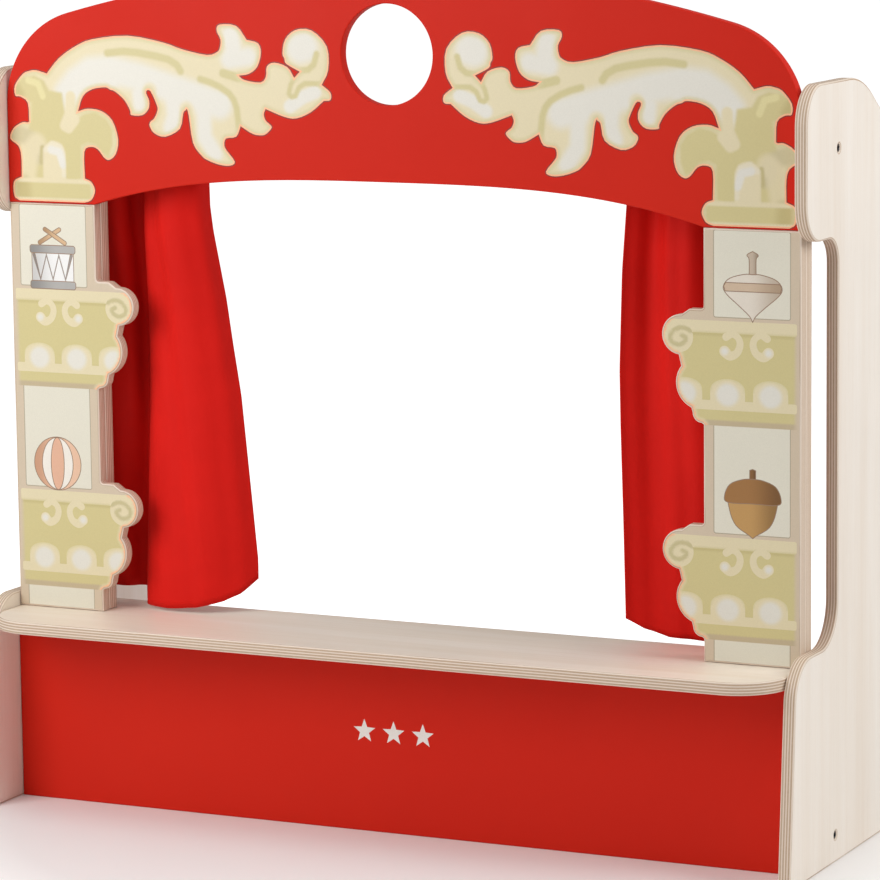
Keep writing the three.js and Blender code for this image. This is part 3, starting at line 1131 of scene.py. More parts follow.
def ribbon(path: Array, half: float | Array) -> Array:
    """The closed outline of a stroke along a path, with round ends.

    Each point of the path goes to both sides along the normal of its run, by half the stroke's
    width there, and each end is a half circle.

    Args:
        path: The stroke's middle line.
        half: Half its width, one value or one for each point.

    Returns:
        The outline's points.
    """
    half = np.broadcast_to(half, len(path))
    run = np.gradient(path, axis=0)
    run = run / np.linalg.norm(run, axis=1, keepdims=True)
    normal = np.column_stack([-run[:, 1], run[:, 0]])
    ends = []
    for index, sign in ((-1, 1), (0, -1)):
        facing = math.degrees(math.atan2(*(sign * normal[index])[::-1]))
        ends.append(arc(path[index], float(half[index]), facing, facing - 180, 8)[1:-1])
    left, right = path + normal * half[:, None], path - normal * half[:, None]
    return np.vstack([left, ends[0], right[::-1], ends[1]])


def ellipse(centre: Sequence[float], across: float, up: float, end: float = 360) -> Array:
    """An ellipse, or its part up to an angle: an arc of the unit circle stretched by two radii."""
    whole = end == 360
    turn = arc((0, 0), 1, 0, end, 36 if whole else 20)
    return np.asarray(centre) + (turn[:-1] if whole else turn) * [across, up]


def rectangle(low: Sequence[float], high: Sequence[float], *radii: float, step: float = 15) -> Array:
    """A rectangle between two corners, rounded by one radius, or by the lower and the upper one."""
    lower, upper = radii[0] if radii else 0.0, radii[-1] if radii else 0.0
    corners = (low[0], low[1], lower), (high[0], low[1], lower), (high[0], high[1], upper)
    return fillet([*corners, (low[0], high[1], upper)], step)


def placed(region: Region, scale: Sequence[float], lift: Sequence[float]) -> Region:
    """A region that a scale of 1 or -1 on each axis mirrors, and that a lift then moves."""
    scale, lift = np.array(scale), np.array(lift)
    return Region(region.outline * scale + lift, lambda points: region.tone((points - lift) * scale))


def rimmed(outline: Array, rim: str, width: float, tone: Tone, contour: str) -> list[Region]:
    """A printed form with a rim just inside its outline and a thin contour line outside it.

    Args:
        outline: The form's outline.
        rim: The rim's colour.
        width: The rim's width.
        tone: What the form holds.
        contour: The contour line's colour.

    Returns:
        The regions, the outermost first.
    """
    loop = running(outline, anticlockwise=True)
    line = Region(inset(loop, -CONTOUR), washed(contour))
    return [line, Region(loop, washed(rim)), Region(inset(loop, width), tone)]


@dataclass(frozen=True)
class Scrollwork:
    """The acanthus scroll and the pillar's capital on the right half of the fascia.

    Points are in millimetres: how far from the middle, and how far over the fascia's lower edge.
    Each run starts at the end of the one before and is a smooth curve up to its own last point.
    """

    runs: dict[str, Pairs] = field(default_factory=lambda: {
        "ball": (
            (61, 135), (62, 157), (78, 172), (95, 172), (106, 163), (109, 150), (107, 145), (105, 140),
            (91, 133),
        ),
        "wedge": ((97, 127),),
        "hump": ((104, 137), (118, 141), (126, 137), (127, 128), (133, 122), (150, 124), (156, 128)),
        "leaf_lip": ((145, 130), (136, 137), (132, 150), (135, 159), (147, 162)),
        "leaf_top": (
            (158, 175), (176, 176), (179, 170), (175, 162), (176, 154), (179, 150), (190, 147),
            (217, 152), (237, 158), (276, 164), (315, 160), (334, 153), (353, 141), (367, 126),
        ),
        "capital_lobe": (
            (379, 129), (387, 128), (394, 125), (403, 114), (403, 104), (397, 103), (389, 97), (388, 79),
        ),
        "lower_lobe": ((390, 78), (396, 78), (406, 72), (410, 62), (401, 55), (398, 45), (398, 25)),
        "base_outer": ((407, 20), (407, 6), (401, 1.6)),
        "base_bottom": ((328, 1.6),),
        "base_inner": ((323, 3), (319, 6), (316, 14), (320, 22), (327, 25)),
        "volute": (
            (327, 51), (320, 56), (312, 54), (305, 46), (299, 44), (292, 50), (289, 64), (295, 82),
            (307, 91), (322, 93), (333, 90),
        ),
        "fingers_left": (
            (327, 105), (316, 112), (302, 114), (297, 112), (291, 110), (281, 102), (275, 92),
            (274, 88), (262, 88), (255, 94), (254, 102), (257, 109), (256, 112), (252, 111),
            (246, 99), (245, 93), (249, 85), (253, 82), (254, 78), (249, 71), (237, 68), (221, 76),
            (217, 91), (214, 94),
        ),
        "fingers_right": (
            (213, 95), (211, 89), (207, 63), (198, 51), (192, 47), (180, 43), (168, 42), (162, 46),
            (171, 57), (173, 62), (171, 68), (160, 70), (155, 80),
        ),
        "tail_curl": (
            (142, 73), (132, 72), (127, 74), (122, 79), (123, 82), (128, 86), (130, 92), (128, 97),
        ),
        "underside": ((108, 90), (95, 89), (80, 95), (66, 106)),
        "nub": ((59, 107), (59, 114), (68, 121)),
    })
    rim: float = 1.6 * MM

    def outline(self) -> Array:
        """The closed outline, anticlockwise."""
        runs = [sized(*run) for run in self.runs.values()]
        starts = [runs[-1][-1:], *(run[-1:] for run in runs[:-1])]
        curves = [smooth_through(np.vstack([start, run]), 3)[:-1] for start, run in zip(starts, runs)]
        return running(np.vstack(curves), anticlockwise=True)

    def scroll_washes(self) -> list[Wash]:
        """The scroll's pale hollows, its olive veins and two patches of cream between its fingers."""
        strokes = {
            PALE: (
                (((86, 156), (90, 155)), 9, 11),
                (((75, 114), (88, 109), (102, 100)), 4.5, 4),
                (((164, 167), (161, 152), (166, 143), (146, 146)), 4.5, 9),
                (
                    (
                        (178, 100), (202, 107), (231, 115), (266, 125), (298, 131), (318, 129),
                        (334, 119), (345, 107),
                    ), 8, 12,
                ),
                (((195, 102), (194, 69), (183, 53)), 4, 8),
                (((228, 106), (227, 88), (231, 77)), 4, 8),
                (((266, 108), (265, 98)), 3, 7),
                (((300, 122), (310, 122)), 8, 10),
            ),
            "d6ca94": (
                (((73, 150), (76, 140), (82, 135), (91, 134)), 1.8, 2.5),
                (
                    (
                        (67, 122), (86, 122), (92, 118), (96, 110), (100, 109), (103, 112), (101, 120),
                        (98, 125),
                    ), 1.4, 2.2,
                ),
                (((198, 124), (187, 121), (177, 117), (167, 111), (162, 105), (159, 97), (157, 80)), 1.8, 3),
                (
                    ((219, 131), (223, 137), (232, 142), (246, 145), (266, 148), (281, 149), (299, 147)),
                    2.2, 3,
                ),
                (((157, 126), (173, 130)), 3, 2.5),
            ),
        }
        found = [
            Wash(sized(*path), colour, radius, soft)
            for colour, group in strokes.items()
            for path, radius, soft in group
        ]
        return [*found, *(Wash(sized(spot), CREAM, 5, 5, strength=0.8) for spot in ((213, 95), (253, 112)))]

    def capital_washes(self) -> list[Wash]:
        """The capital's lobes, its shaft with two arches, and its foot."""
        body = sized(
            (404, 104), (402, 115), (393, 120), (381, 122), (372, 118), (366, 108), (352, 106), (350, 90),
            (340, 76), (336, 80), (325, 86), (314, 88), (303, 82), (297, 73), (297, 59), (301, 49),
            (307, 53), (313, 60), (323, 62), (332, 58), (333, 26), (392, 26), (392, 60), (384, 80),
            (383, 98), (394, 105),
        )
        foot = rectangle(*sized((322, 6), (402, 19)), 3 * MM)
        return [
            Wash(body, OLIVE, 0, 4, filled=True),
            Wash(sized((402, 112), (398, 106)), DEEP_OLIVE, 1, 8, strength=0.7),
            Wash(sized((388, 119), (377, 116), (372, 104)), "e6dba2", 2, 2.5),
            Wash(sized((341, 104), (342, 88), (348, 76), (344, 74), (337, 82)), CREAM, 4, 3),
            Wash(sized((408, 68), (396, 66), (384, 60), (378, 46)), "d2c69c", 5, 7),
            Wash(sized((392, 26), (388, 50), (380, 58)), CREAM, 6, 8, strength=0.8),
            Wash(sized((374, 54), (375, 40)), "c9bb86", 1, 3),
            Wash(sized((361, 24), (361, 48)), CREAM, 11, 3),
            Wash(sized((370, 52), (363, 58), (354, 55), (350, 46), (350, 28)), "ece2c6", 1.5, 2.5),
            Wash(sized((364, 52), (355, 50), (351, 38)), PALE, 2.5, 3),
            Wash(sized((341, 60), (341, 28)), OLIVE, 5.5, 3),
            Wash(foot, OLIVE, 0, 3, filled=True),
            Wash(sized((396, 7), (397, 18)), DEEP_OLIVE, 2, 12, strength=0.8),
            Wash(sized((322, 22), (402, 22)), CREAM, 1, 2),
            Wash(sized((322, 3), (402, 3)), CREAM, 1, 2),
        ]

    def regions(self, lower_edge: float) -> list[Region]:
        """The whole print of both halves.

        Args:
            lower_edge: The height of the fascia's lower edge.

        Returns:
            The regions.
        """
        outline = self.outline()
        edge = Wash(outline, EDGE_OLIVE, 2.2, 3.5, strength=0.8)
        tone = washed(CREAM, *self.scroll_washes(), edge, *self.capital_washes())
        half = rimmed(outline, PEACH, self.rim, tone, BROWN)
        return [placed(region, (side.value, 1), (0, lower_edge)) for side in Side for region in half]


@dataclass(frozen=True)
class BalconyPrint:
    """The print of one balcony, in millimetres in from the pillar's outer edge and over its underside."""

    outer_end: float = 4.2
    inner_end: float = 140.0
    band: Pair = (4.5, 14.4)
    egg_rail: Pair = (14.4, 23.2)
    top_rail: Pair = (84.8, 96.3)
    rail_corner: float = 2 * MM
    egg_middle: float = 71.4
    egg_spacing: float = 41.8
    egg_half: float = 17.0
    egg_spring: float = 33.0
    egg_rise: float = 10.4
    egg_foot: float = 3.0
    yolk: tuple[float, float, float] = (28.8, 13.2, 12.8)
    scroll_middle: float = 52.9
    scroll: Pairs = (
        (20, 81.8), (14.1, 84.8), (8.3, 81.5), (6.3, 75.2), (9.3, 67.7), (16.1, 64.6), (21.4, 68.6),
    )
    scroll_halves: Pairs = ((0, 3.6), (0.3, 3.1), (0.7, 3.6), (1, 5.2))
    volute: Pair = (119.5, 80.2)
    volute_radius: float = 14.5
    groove: Pairs = (
        (107, 85.8), (111.9, 87.9), (117.8, 88.5), (123.7, 85.9), (127.7, 80.3), (125.8, 74.8),
        (118.9, 72.8), (113.9, 75.4), (112, 79.1), (115.9, 81.2),
    )

    def eggs(self) -> tuple[list[Region], list[Region]]:
        """The three egg shapes of the row, and the pale yolks in them."""
        eggs, yolks = [], []
        height, across, up = self.yolk
        foot = self.egg_rail[0] + self.egg_foot
        for number in (-1, 0, 1):
            middle = self.egg_middle + number * self.egg_spacing
            top = ellipse(*sized((middle, self.egg_spring)), self.egg_half * MM, self.egg_rise * MM, 180)
            ends = sized((middle - self.egg_half, foot), (middle + self.egg_half, foot))
            eggs.append(Region(np.vstack([top, ends]), washed(CREAM, Wash(top, "dfd4a4", 0.4, 1.6))))
            yolk = ellipse(*sized((middle, height)), across * MM, up * MM)
            yolks.append(Region(yolk, washed(PALE, Wash(yolk, CREAM, 0, 5, strength=0.95))))
        return eggs, yolks

    def scrolls(self) -> list[Region]:
        """The two small scrolls that face each other over the eggs."""
        found = []
        for sign in (1, -1):
            points = sized(*((self.scroll_middle + sign * out, up) for out, up in self.scroll))
            path = smooth_through(points, 5)
            half = np.interp(np.linspace(0, 1, len(path)), *zip(*self.scroll_halves)) * MM
            found.append(Region(ribbon(path, half), washed(CREAM, Wash(path[-1:], PALE, 1.5, 4))))
        return found

    def regions(self) -> list[Region]:
        """The areas from the body outwards to the smallest."""
        egg_rail, top_rail = (
            rectangle(*sized((self.outer_end, low), (self.inner_end, high)), self.rail_corner)
            for low, high in (self.egg_rail, self.top_rail)
        )
        body = rectangle(*sized((0, 0), (self.inner_end, self.top_rail[1])))
        side_fade = Wash(sized((0, 0), (0, 100)), TAN, 3.4, 5)
        band = self.band[0] / 2
        under = Wash(sized((0, band), (150, band)), "c9b795", band, 1)
        below_rail = Wash(sized((0, 84), (108, 84)), DEEP_OLIVE, 0, 3, strength=0.6)
        shade = Wash(sized((self.outer_end, self.top_rail[0]), (104, self.top_rail[0])), EDGE_OLIVE, 0, 2.5)
        groove = Wash(smooth_through(sized(*self.groove), 4), "cfc394", 1.3, 1.6)
        disc = ellipse(*sized(self.volute), self.volute_radius * MM, self.volute_radius * MM)
        eggs, yolks = self.eggs()
        return [
            Region(body, washed(OLIVE, below_rail, under, side_fade)),
            *eggs,
            Region(egg_rail, washed(CREAM)),
            *yolks,
            Region(top_rail, washed(CREAM, shade)),
            Region(disc, washed(CREAM, groove)),
            *self.scrolls(),
        ]


def turned(*profile: Pair, smooth: bool = True) -> Array:
    """The outline of a turned thing seen from the front: its profile on both sides of its axis."""
    half = sized(*profile)
    if smooth:
        half = smooth_through(half, 4)
    return np.vstack([half, half[half[:, 0] > 0][::-1] * [-1, 1]])


@dataclass(frozen=True)
class Toy:
    """One plain printed toy that stands on a balcony, in millimetres from the middle of its foot."""

    shapes: tuple[tuple[Array, str, str], ...]
    contour: str = "9a7c64"
    shade_share: float = 0.6

    def regions(self) -> list[Region]:
        """Each shape with its contour line, and a shade along its outer side."""
        found = []
        for outline, colour, shade in self.shapes:
            loop = running(outline, anticlockwise=True)
            low, high = loop.min(axis=0), loop.max(axis=0)
            side = np.array([[low[0], low[1]], [low[0], high[1]]])
            wide = (high[0] - low[0]) / MM
            found.append(Region(inset(loop, -TOY_CONTOUR), washed(self.contour)))
            found.append(Region(loop, washed(colour, Wash(side, shade, 0, self.shade_share * wide))))
        return found


def drum() -> Toy:
    """A grey and white drum with a zigzag cord and two sticks."""
    zigzag = sized(*((-21 + 7 * step, 9 if step % 2 else 33) for step in range(7)))
    hoops = (rectangle(*sized((-25, low), (25, low + 7)), 2 * MM) for low in (0, 35))
    sticks = (ribbon(sized((-14 * sign, 45), (8 * sign, 58)), 1.6 * MM) for sign in (1, -1))
    return Toy(
        (
            (turned((23, 0), (23, 42), smooth=False), "f6f5f3", "cfcdca"),
            (ribbon(zigzag, 0.9 * MM), "9a9794", "85827f"),
            *((hoop, "b4b1ad", "8f8c88") for hoop in hoops),
            *((stick, "d9b58c", "b08a62") for stick in sticks),
        )
    )


def ball() -> Toy:
    """A ball in cream and peach gores."""
    gores = ((26, 26, "edc4a6", "cf9c7c"), (17, 25.5, "f6efe4", "f6efe4"), (7, 25.5, "e9b79a", "e9b79a"))
    return Toy(
        tuple((ellipse(*sized((0, 26)), across * MM, up * MM), *colours) for across, up, *colours in gores)
    )


def spinning_top() -> Toy:
    """A turned top in cream and grey-tan."""
    return Toy(
        (
            (turned((3, 38), (3, 56), (5, 60), (0, 63)), "cdbba6", "a8947e"),
            (
                turned((0, 0), (3, 5), (12, 13), (25, 24), (28, 31), (22, 38), (8, 42), (0, 42)),
                "ebe1d2", "c3b19c",
            ),
            (turned((26.5, 27), (27.6, 31), (26, 34), smooth=False), "d8bfa4", "b59b80"),
        )
    )


def acorn() -> Toy:
    """A brown acorn in its cup."""
    return Toy(
        (
            (turned((0, 0), (4, 3), (16, 11), (22, 24), (22, 38), (0, 38)), "c79a5c", "96703c"),
            (turned((2.5, 50), (2.5, 62), (0, 63), smooth=False), "8a6034", "6e4a26"),
            (turned((0, 32), (24, 32), (27, 38), (22, 48), (10, 53), (0, 54)), "a4743f", "7c5428"),
        )
    )


def star(centre: Sequence[float], radius: float, inner: float = 0.42) -> Array:
    """A star of five points, whose inner corners lie at a share of its radius."""
    turns = np.radians(90 + 36 * np.arange(10))
    reach = radius * np.where(np.arange(10) % 2, inner, 1.0)
    return np.asarray(centre) + reach[:, None] * np.column_stack([np.cos(turns), np.sin(turns)])


# The boards


def finish_piece(piece: Piece, node: str) -> None:
    """Rides a piece on the stand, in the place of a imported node.

    Args:
        piece: The finished piece.
        node: The node that it stands for.
    """
    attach(piece, STAND)
    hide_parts(node)
    log.info("%s: %d faces", piece.name, len(piece.data.polygons))


def upright_board(name: str, node: str, loops: list[Array], *finishes: Material, **more: object) -> Board:
    """A board in the place of a node, whose front face looks at the audience.

    Args:
        name: The board's name.
        node: The node in whose place it stands.
        loops: The board's outlines as (x, z), the outer one first.
        finishes: The finishes of its faces, its edge and its print.
        more: The board's other fields.

    Returns:
        The board, not yet built.
    """
    low, high = lowest(node), highest(node)
    plane = Plane(np.array([0, low[1], 0]), RIGHT, UP, BACK)
    return Board(name, loops, plane, high[1] - low[1], *finishes, **more)


def upright_plate(node: str, eased: float) -> Array:
    """A node's outline seen by the audience: a rectangle with eased corners."""
    low, high = lowest(node)[[0, 2]], highest(node)[[0, 2]]
    return rectangle(low, high, eased, step=CORNER_STEP)


def screw_hole(screw: str, axes: tuple[int, int]) -> Array:
    """The round hole that a screw's head lies in, in the plane of two axes."""
    low, high = lowest(screw)[list(axes)], highest(screw)[list(axes)]
    return arc((low + high) / 2, float(high[0] - low[0]) / 2 + HEAD_CLEAR, 0, 360, 40)[:-1]


def outer_edge(node: str, side: Side) -> float:
    """How far out along X a node of one side reaches, with its sign."""
    return (lowest(node) if side is Side.LEFT else highest(node))[0]


@dataclass(frozen=True)
class SidePanels:
    """Two upright plywood sides: a head beside the fascia, a neck set back, and a wider foot."""

    finishes: Finishes
    head_front_radius: float = 37 * MM
    head_lower_radius: float = 36 * MM
    head_fillet_radius: float = 24 * MM
    head_proud: float = 20 * MM
    head_below_spring: float = 11 * MM
    neck_setback: float = 62.5 * MM
    foot_above_shelf: float = 14.5 * MM
    foot_proud_top: float = 44 * MM
    foot_proud_bottom: float = 61 * MM
    foot_front_radius: float = 40 * MM
    foot_fillet_radius: float = 41 * MM
    shoulder_start: float = 125.6 * MM
    shoulder_fall: float = math.radians(34)
    shoulder_radius: float = 110 * MM
    rear_top_inset: float = 29 * MM
    rear_top_radius: float = 60 * MM
    foot_corner_radius: float = 4 * MM

    def outline(self) -> Array:
        """The profile as (depth, height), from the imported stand's own planes."""
        stage_face, spring_line = lowest("fascia")[1:]
        rear_foot, head_top = highest("side_panel_right")[1:]
        head_bottom = spring_line - self.head_below_spring
        head_front = stage_face - self.head_proud
        neck = stage_face + self.neck_setback
        slope_start = stage_face + self.shoulder_start
        rear_top = rear_foot - self.rear_top_inset
        rear_top_height = head_top - (rear_top - slope_start) * math.tan(self.shoulder_fall)
        foot_top = highest("stage_shelf")[2] + self.foot_above_shelf
        return fillet(
            [
                (stage_face - self.foot_proud_bottom, 0, self.foot_corner_radius),
                (rear_foot, 0, self.foot_corner_radius),
                (rear_top, rear_top_height, self.rear_top_radius),
                (slope_start, head_top, self.shoulder_radius),
                (head_front, head_top, self.head_front_radius),
                (head_front, head_bottom, self.head_lower_radius),
                (neck, head_bottom, self.head_fillet_radius),
                (neck, foot_top, self.foot_fillet_radius),
                (stage_face - self.foot_proud_top, foot_top, self.foot_front_radius),
            ]
        )

    def build(self) -> None:
        """Makes both sides, each with its outer face as the front."""
        for side in Side:
            node = f"side_panel_{side.word}"
            plane = Plane(outer_edge(node, side) * RIGHT, BACK, UP, -side.value * RIGHT)
            holes = [screw_hole(f"{rail}_screw_{side.word}", (1, 2)) for rail in ("rod", "rail")]
            thickness = highest(node)[0] - lowest(node)[0]
            finishes = self.finishes.birch_upright, self.finishes.ply_edge
            board = Board(f"{side.word}_side", [self.outline(), *holes], plane, thickness, *finishes)
            finish_piece(board.build(), node)


@dataclass(frozen=True)
class Fascia:
    """The red board over the stage: a crown between two shoulders, an arch and a round window."""

    finishes: Finishes
    crown_turn: float = math.radians(15)
    shoulder_radius: float = 92.4 * MM
    arch_rise: float = 31 * MM
    arch_power: float = 3.1
    arch_points: int = 121
    window_radius: float = 47.5 * MM
    window_drop: float = 79.5 * MM
    edge_round: float = 1 * MM

    def loops(self) -> list[Array]:
        """The board's outer outline and its round window, as (x, z).

        The arch rises by its height times one less the power of the share out from the middle.
        """
        half, _, top = highest("fascia")
        spring_line = lowest("fascia")[2]
        arch_half = lowest("pillar_post_right")[0]
        sine = math.sin(self.crown_turn)
        crown_radius = (half - self.shoulder_radius * (1 - sine)) / sine
        crown_centre = top - crown_radius
        shoulder_centre = crown_centre + (crown_radius - self.shoulder_radius) * math.cos(self.crown_turn)
        share = np.linspace(-1, 1, self.arch_points)
        rise = self.arch_rise * (1 - np.abs(share) ** self.arch_power)
        arch = np.column_stack([arch_half * share, spring_line + rise])
        turn = math.degrees(self.crown_turn)
        right = arc((half - self.shoulder_radius, shoulder_centre), self.shoulder_radius, 0, 90 - turn, 24)
        crown = arc((0, crown_centre), crown_radius, 90 - turn, 90 + turn, 60)
        left = right[::-1] * [-1, 1]
        corners = np.array([[-half, spring_line], [half, spring_line]])
        outer = np.vstack([corners[:1], arch, corners[1:], right, crown[1:-1], left])
        window = arc((0, top - self.window_drop), self.window_radius, 0, 360, 96)[:-1]
        return [outer, window]

    def build(self) -> None:
        """Makes the fascia."""
        finishes = self.finishes.red, self.finishes.red, self.finishes.printed
        regions = Scrollwork().regions(lowest("fascia")[2])
        loops = self.loops()
        board = upright_board(
            "red_fascia", "fascia", loops, *finishes, regions=regions, edge_round=self.edge_round
        )
        finish_piece(board.build(), "fascia")


@dataclass(frozen=True)
class StageBoards:
    """The stage shelf with its two round front corners, and the red panel that carries it."""

    finishes: Finishes
    corner_radius: float = 50 * MM
    eased: float = 1 * MM
    star_radius: float = 12 * MM
    star_step: float = 31 * MM
    star_lift: float = 8 * MM
    star_colour: str = "f2efe9"

    def build(self) -> None:
        """Makes the shelf and the panel."""
        low, high = lowest("stage_shelf"), highest("stage_shelf")
        outline = rectangle(low, high, self.corner_radius, self.eased, step=CORNER_STEP)
        plane = Plane(high[2] * UP, RIGHT, BACK, -UP)
        finishes = self.finishes.birch_level, self.finishes.ply_edge
        board = Board("stage", [outline], plane, high[2] - low[2], *finishes)
        finish_piece(board.build(), "stage_shelf")

        low, high = lowest("front_panel"), highest("front_panel")
        middle = (low[2] + high[2]) / 2 + self.star_lift
        places = (-self.star_step, 0, self.star_step)
        stars = [
            Region(star((place, middle), self.star_radius), washed(self.star_colour)) for place in places
        ]
        outline = upright_plate("front_panel", self.eased)
        finishes = self.finishes.red, self.finishes.red, self.finishes.printed
        board = upright_board("red_front", "front_panel", [outline], *finishes, regions=stars)
        finish_piece(board.build(), "front_panel")


@dataclass(frozen=True)
class Balcony:
    """The outline of one balcony, out from the pillar's inner edge and up from its underside.

    Its three arcs, of the skirt, the belly and the volute, have a radius, how far out and how far up
    the centre lies, and the first and last angle in degrees.
    """

    skirt: tuple[float, ...] = (9 * MM, 2 * MM, 10.5 * MM, -90, 0)
    belly: tuple[float, ...] = (24.8 * MM, 2.6 * MM, 38 * MM, -67, 38)
    volute: tuple[float, ...] = (18.6 * MM, 22.4 * MM, 82 * MM, -83, 92)
    steps: tuple[int, int, int] = (10, 20, 30)
    rail_out: float = 14 * MM
    rail_up: float = 106 * MM
    rail_fillet_radius: float = 3 * MM

    def outline(self, width: float, underside: float) -> Array:
        """The balcony's run of the pillar's outline, upwards.

        Args:
            width: The pillar's width.
            underside: The height of the balcony's underside.

        Returns:
            Points as (distance from the pillar's outer edge, height).
        """
        parts = zip((self.skirt, self.belly, self.volute), self.steps)
        arcs = [
            arc((width + out, underside + up), radius, first, last, steps)
            for (radius, out, up, first, last), steps in parts
        ]
        fillet_radius, rail = self.rail_fillet_radius, underside + self.rail_up
        corner = arc((width + fillet_radius, rail + fillet_radius), fillet_radius, -90, -180, 6)
        return np.vstack([[width, underside], *arcs, [width + self.rail_out, rail], corner])


@dataclass(frozen=True)
class Pillars:
    """Two pillars: a printed board with scrolled balconies in front of a straight post."""

    finishes: Finishes
    balcony: Balcony = Balcony()
    balcony_shares: Pair = (0.0536, 0.5496)
    eased: float = 0.8 * MM
    panel: Pair = (10.9 * MM, 84.5 * MM)
    panel_over: float = 100 * MM
    panel_under: float = 1.5 * MM
    panel_past: float = 2 * MM
    panel_corner: float = 1.5 * MM
    panel_line: float = 0.8 * MM
    panel_colours: tuple[str, str] = ("b3a48c", "e9e4d2")
    toy_place: Pair = (47 * MM, 97.2 * MM)

    def undersides(self) -> list[float]:
        """The heights of the two balconies' undersides, the lower first."""
        shelf_top, top = highest("stage_shelf")[2], highest("pillar_board_right")[2]
        return [shelf_top + share * (top - shelf_top) for share in self.balcony_shares]

    def outline(self, width: float, foot: float, top: float) -> Array:
        """The board's outline as (distance from the outer edge, height)."""
        runs = [self.balcony.outline(width, underside) for underside in self.undersides()]
        return np.vstack([[[0, foot], [width, foot]], *runs, [[width, top], [0, top]]])

    def panels(self, foot: float, top: float) -> list[Region]:
        """The pale panels under, between and over the balconies, each with its line.

        Args:
            foot: The height of the board's foot.
            top: The height of its top.

        Returns:
            The regions.
        """
        lower, upper = self.undersides()
        found = []
        for low, high in (
            (foot - self.panel_past, lower + self.panel_under),
            (lower + self.panel_over, upper + self.panel_under),
            (upper + self.panel_over, top - self.panel_past),
        ):
            loop = rectangle((self.panel[0], low), (self.panel[1], high), self.panel_corner)
            for outline, colour in zip((inset(loop, -self.panel_line), loop), self.panel_colours):
                found.append(Region(outline, washed(colour)))
        return found

    def regions(self, side: Side, flat: Array, outer: float) -> list[Region]:
        """The board's print: a tan ground, pale panels, two balconies and a toy on each, with a painted
        highlight along each balcony's rounded edge.

        Args:
            side: Which pillar it is.
            flat: The board's outline as (distance from the outer edge, height).
            outer: The place of the outer edge.

        Returns:
            The regions in the board's own plane.
        """
        found = [Region(flat, washed(TAN)), *self.panels(flat[:, 1].min(), flat[:, 1].max())]
        edge = self.balcony.outline(flat[1, 0], 0)
        # A cream band printed along the balcony's edge, and in it a peach line that is painted highlight:
        # the light and the curtain's red reflection on the board's rounded edge.
        rim = [Wash(edge, CREAM, 3.4, 3, strength=0.7), Wash(edge, PEACH, 2.7, 0.9)]
        toys = {Side.LEFT: (ball(), drum()), Side.RIGHT: (acorn(), spinning_top())}[side]
        for underside, toy in zip(self.undersides(), toys):
            for region in BalconyPrint().regions():
                region_with_painted_highlight = Region(region.outline, washed(region.tone, *rim))
                found.append(placed(region_with_painted_highlight, (1, 1), (0, underside)))
            stand = np.array([0, underside]) + self.toy_place
            found += [placed(region, (1, 1), stand) for region in toy.regions()]
        return [placed(region, (-side.value, 1), (outer, 0)) for region in found]

    def build(self) -> None:
        """Makes both boards and both posts."""
        birch = self.finishes.birch_upright, self.finishes.ply_edge
        for side in Side:
            node, post = f"pillar_board_{side.word}", f"pillar_post_{side.word}"
            outer = outer_edge(node, side)
            width = highest(post)[0] - lowest(post)[0]
            flat = self.outline(width, lowest(node)[2], highest(node)[2])
            loop = np.column_stack([outer - side.value * flat[:, 0], flat[:, 1]])
            regions = self.regions(side, flat, outer)
            board = upright_board(
                f"{side.word}_pillar", node, [loop], *birch, self.finishes.printed, regions=regions
            )
            finish_piece(board.build(), node)

            screws = tuple(f"{kind}_screw_{side.word}" for kind in ("lap", "decor"))
            holes = [screw_hole(name, (0, 2)) for name in sorted(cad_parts) if name.startswith(screws)]
            loops = [upright_plate(post, self.eased), *holes]
            finish_piece(upright_board(f"{side.word}_post", post, loops, *birch).build(), post)


def round_bar(node: str) -> tuple[Array, float]:
    """The axis of a round bar along X, as (y, z), and its radius."""
    low, high = lowest(node), highest(node)
    return (low[1:] + high[1:]) / 2, (high[2] - low[2]) / 2


@dataclass(frozen=True)
class Rails:
    """The beech curtain rod and the foot rail, turned smooth with eased ends."""

    finishes: Finishes
    eased: float = 1.2 * MM

    def build(self) -> None:
        """Makes both rails."""
        for node in ("curtain_rod", "foot_rail"):
            axis, radius = round_bar(node)
            end, length = lowest(node)[0], highest(node)[0] - lowest(node)[0]
            rise = arc((radius - self.eased, self.eased), self.eased, -90, 0, 4)
            profile = np.vstack([rise, rise[::-1] * [1, -1] + [0, length]])
            start = np.array([end, *axis])
            piece = revolved(f"beech_{node}", profile, start, RIGHT, [self.finishes.beech_level])
            finish_piece(piece, node)


# The curtains


@dataclass(frozen=True)
class Fall:
    """How one curtain hangs: the widths, the run of its inner edge, its hem and its folds.

    The inner edge has its place out from the middle at each height, and the hem its height at each
    place, in metres. The folds are turning values of the cloth's tangent in degrees, each at a share
    across the sheet from its outer edge. Positive turns towards the puppeteer.
    """

    side: Side
    flat_width: float
    inner_edge: Pairs
    hem: Pairs
    high_turns: Pairs
    low_turns: Pairs


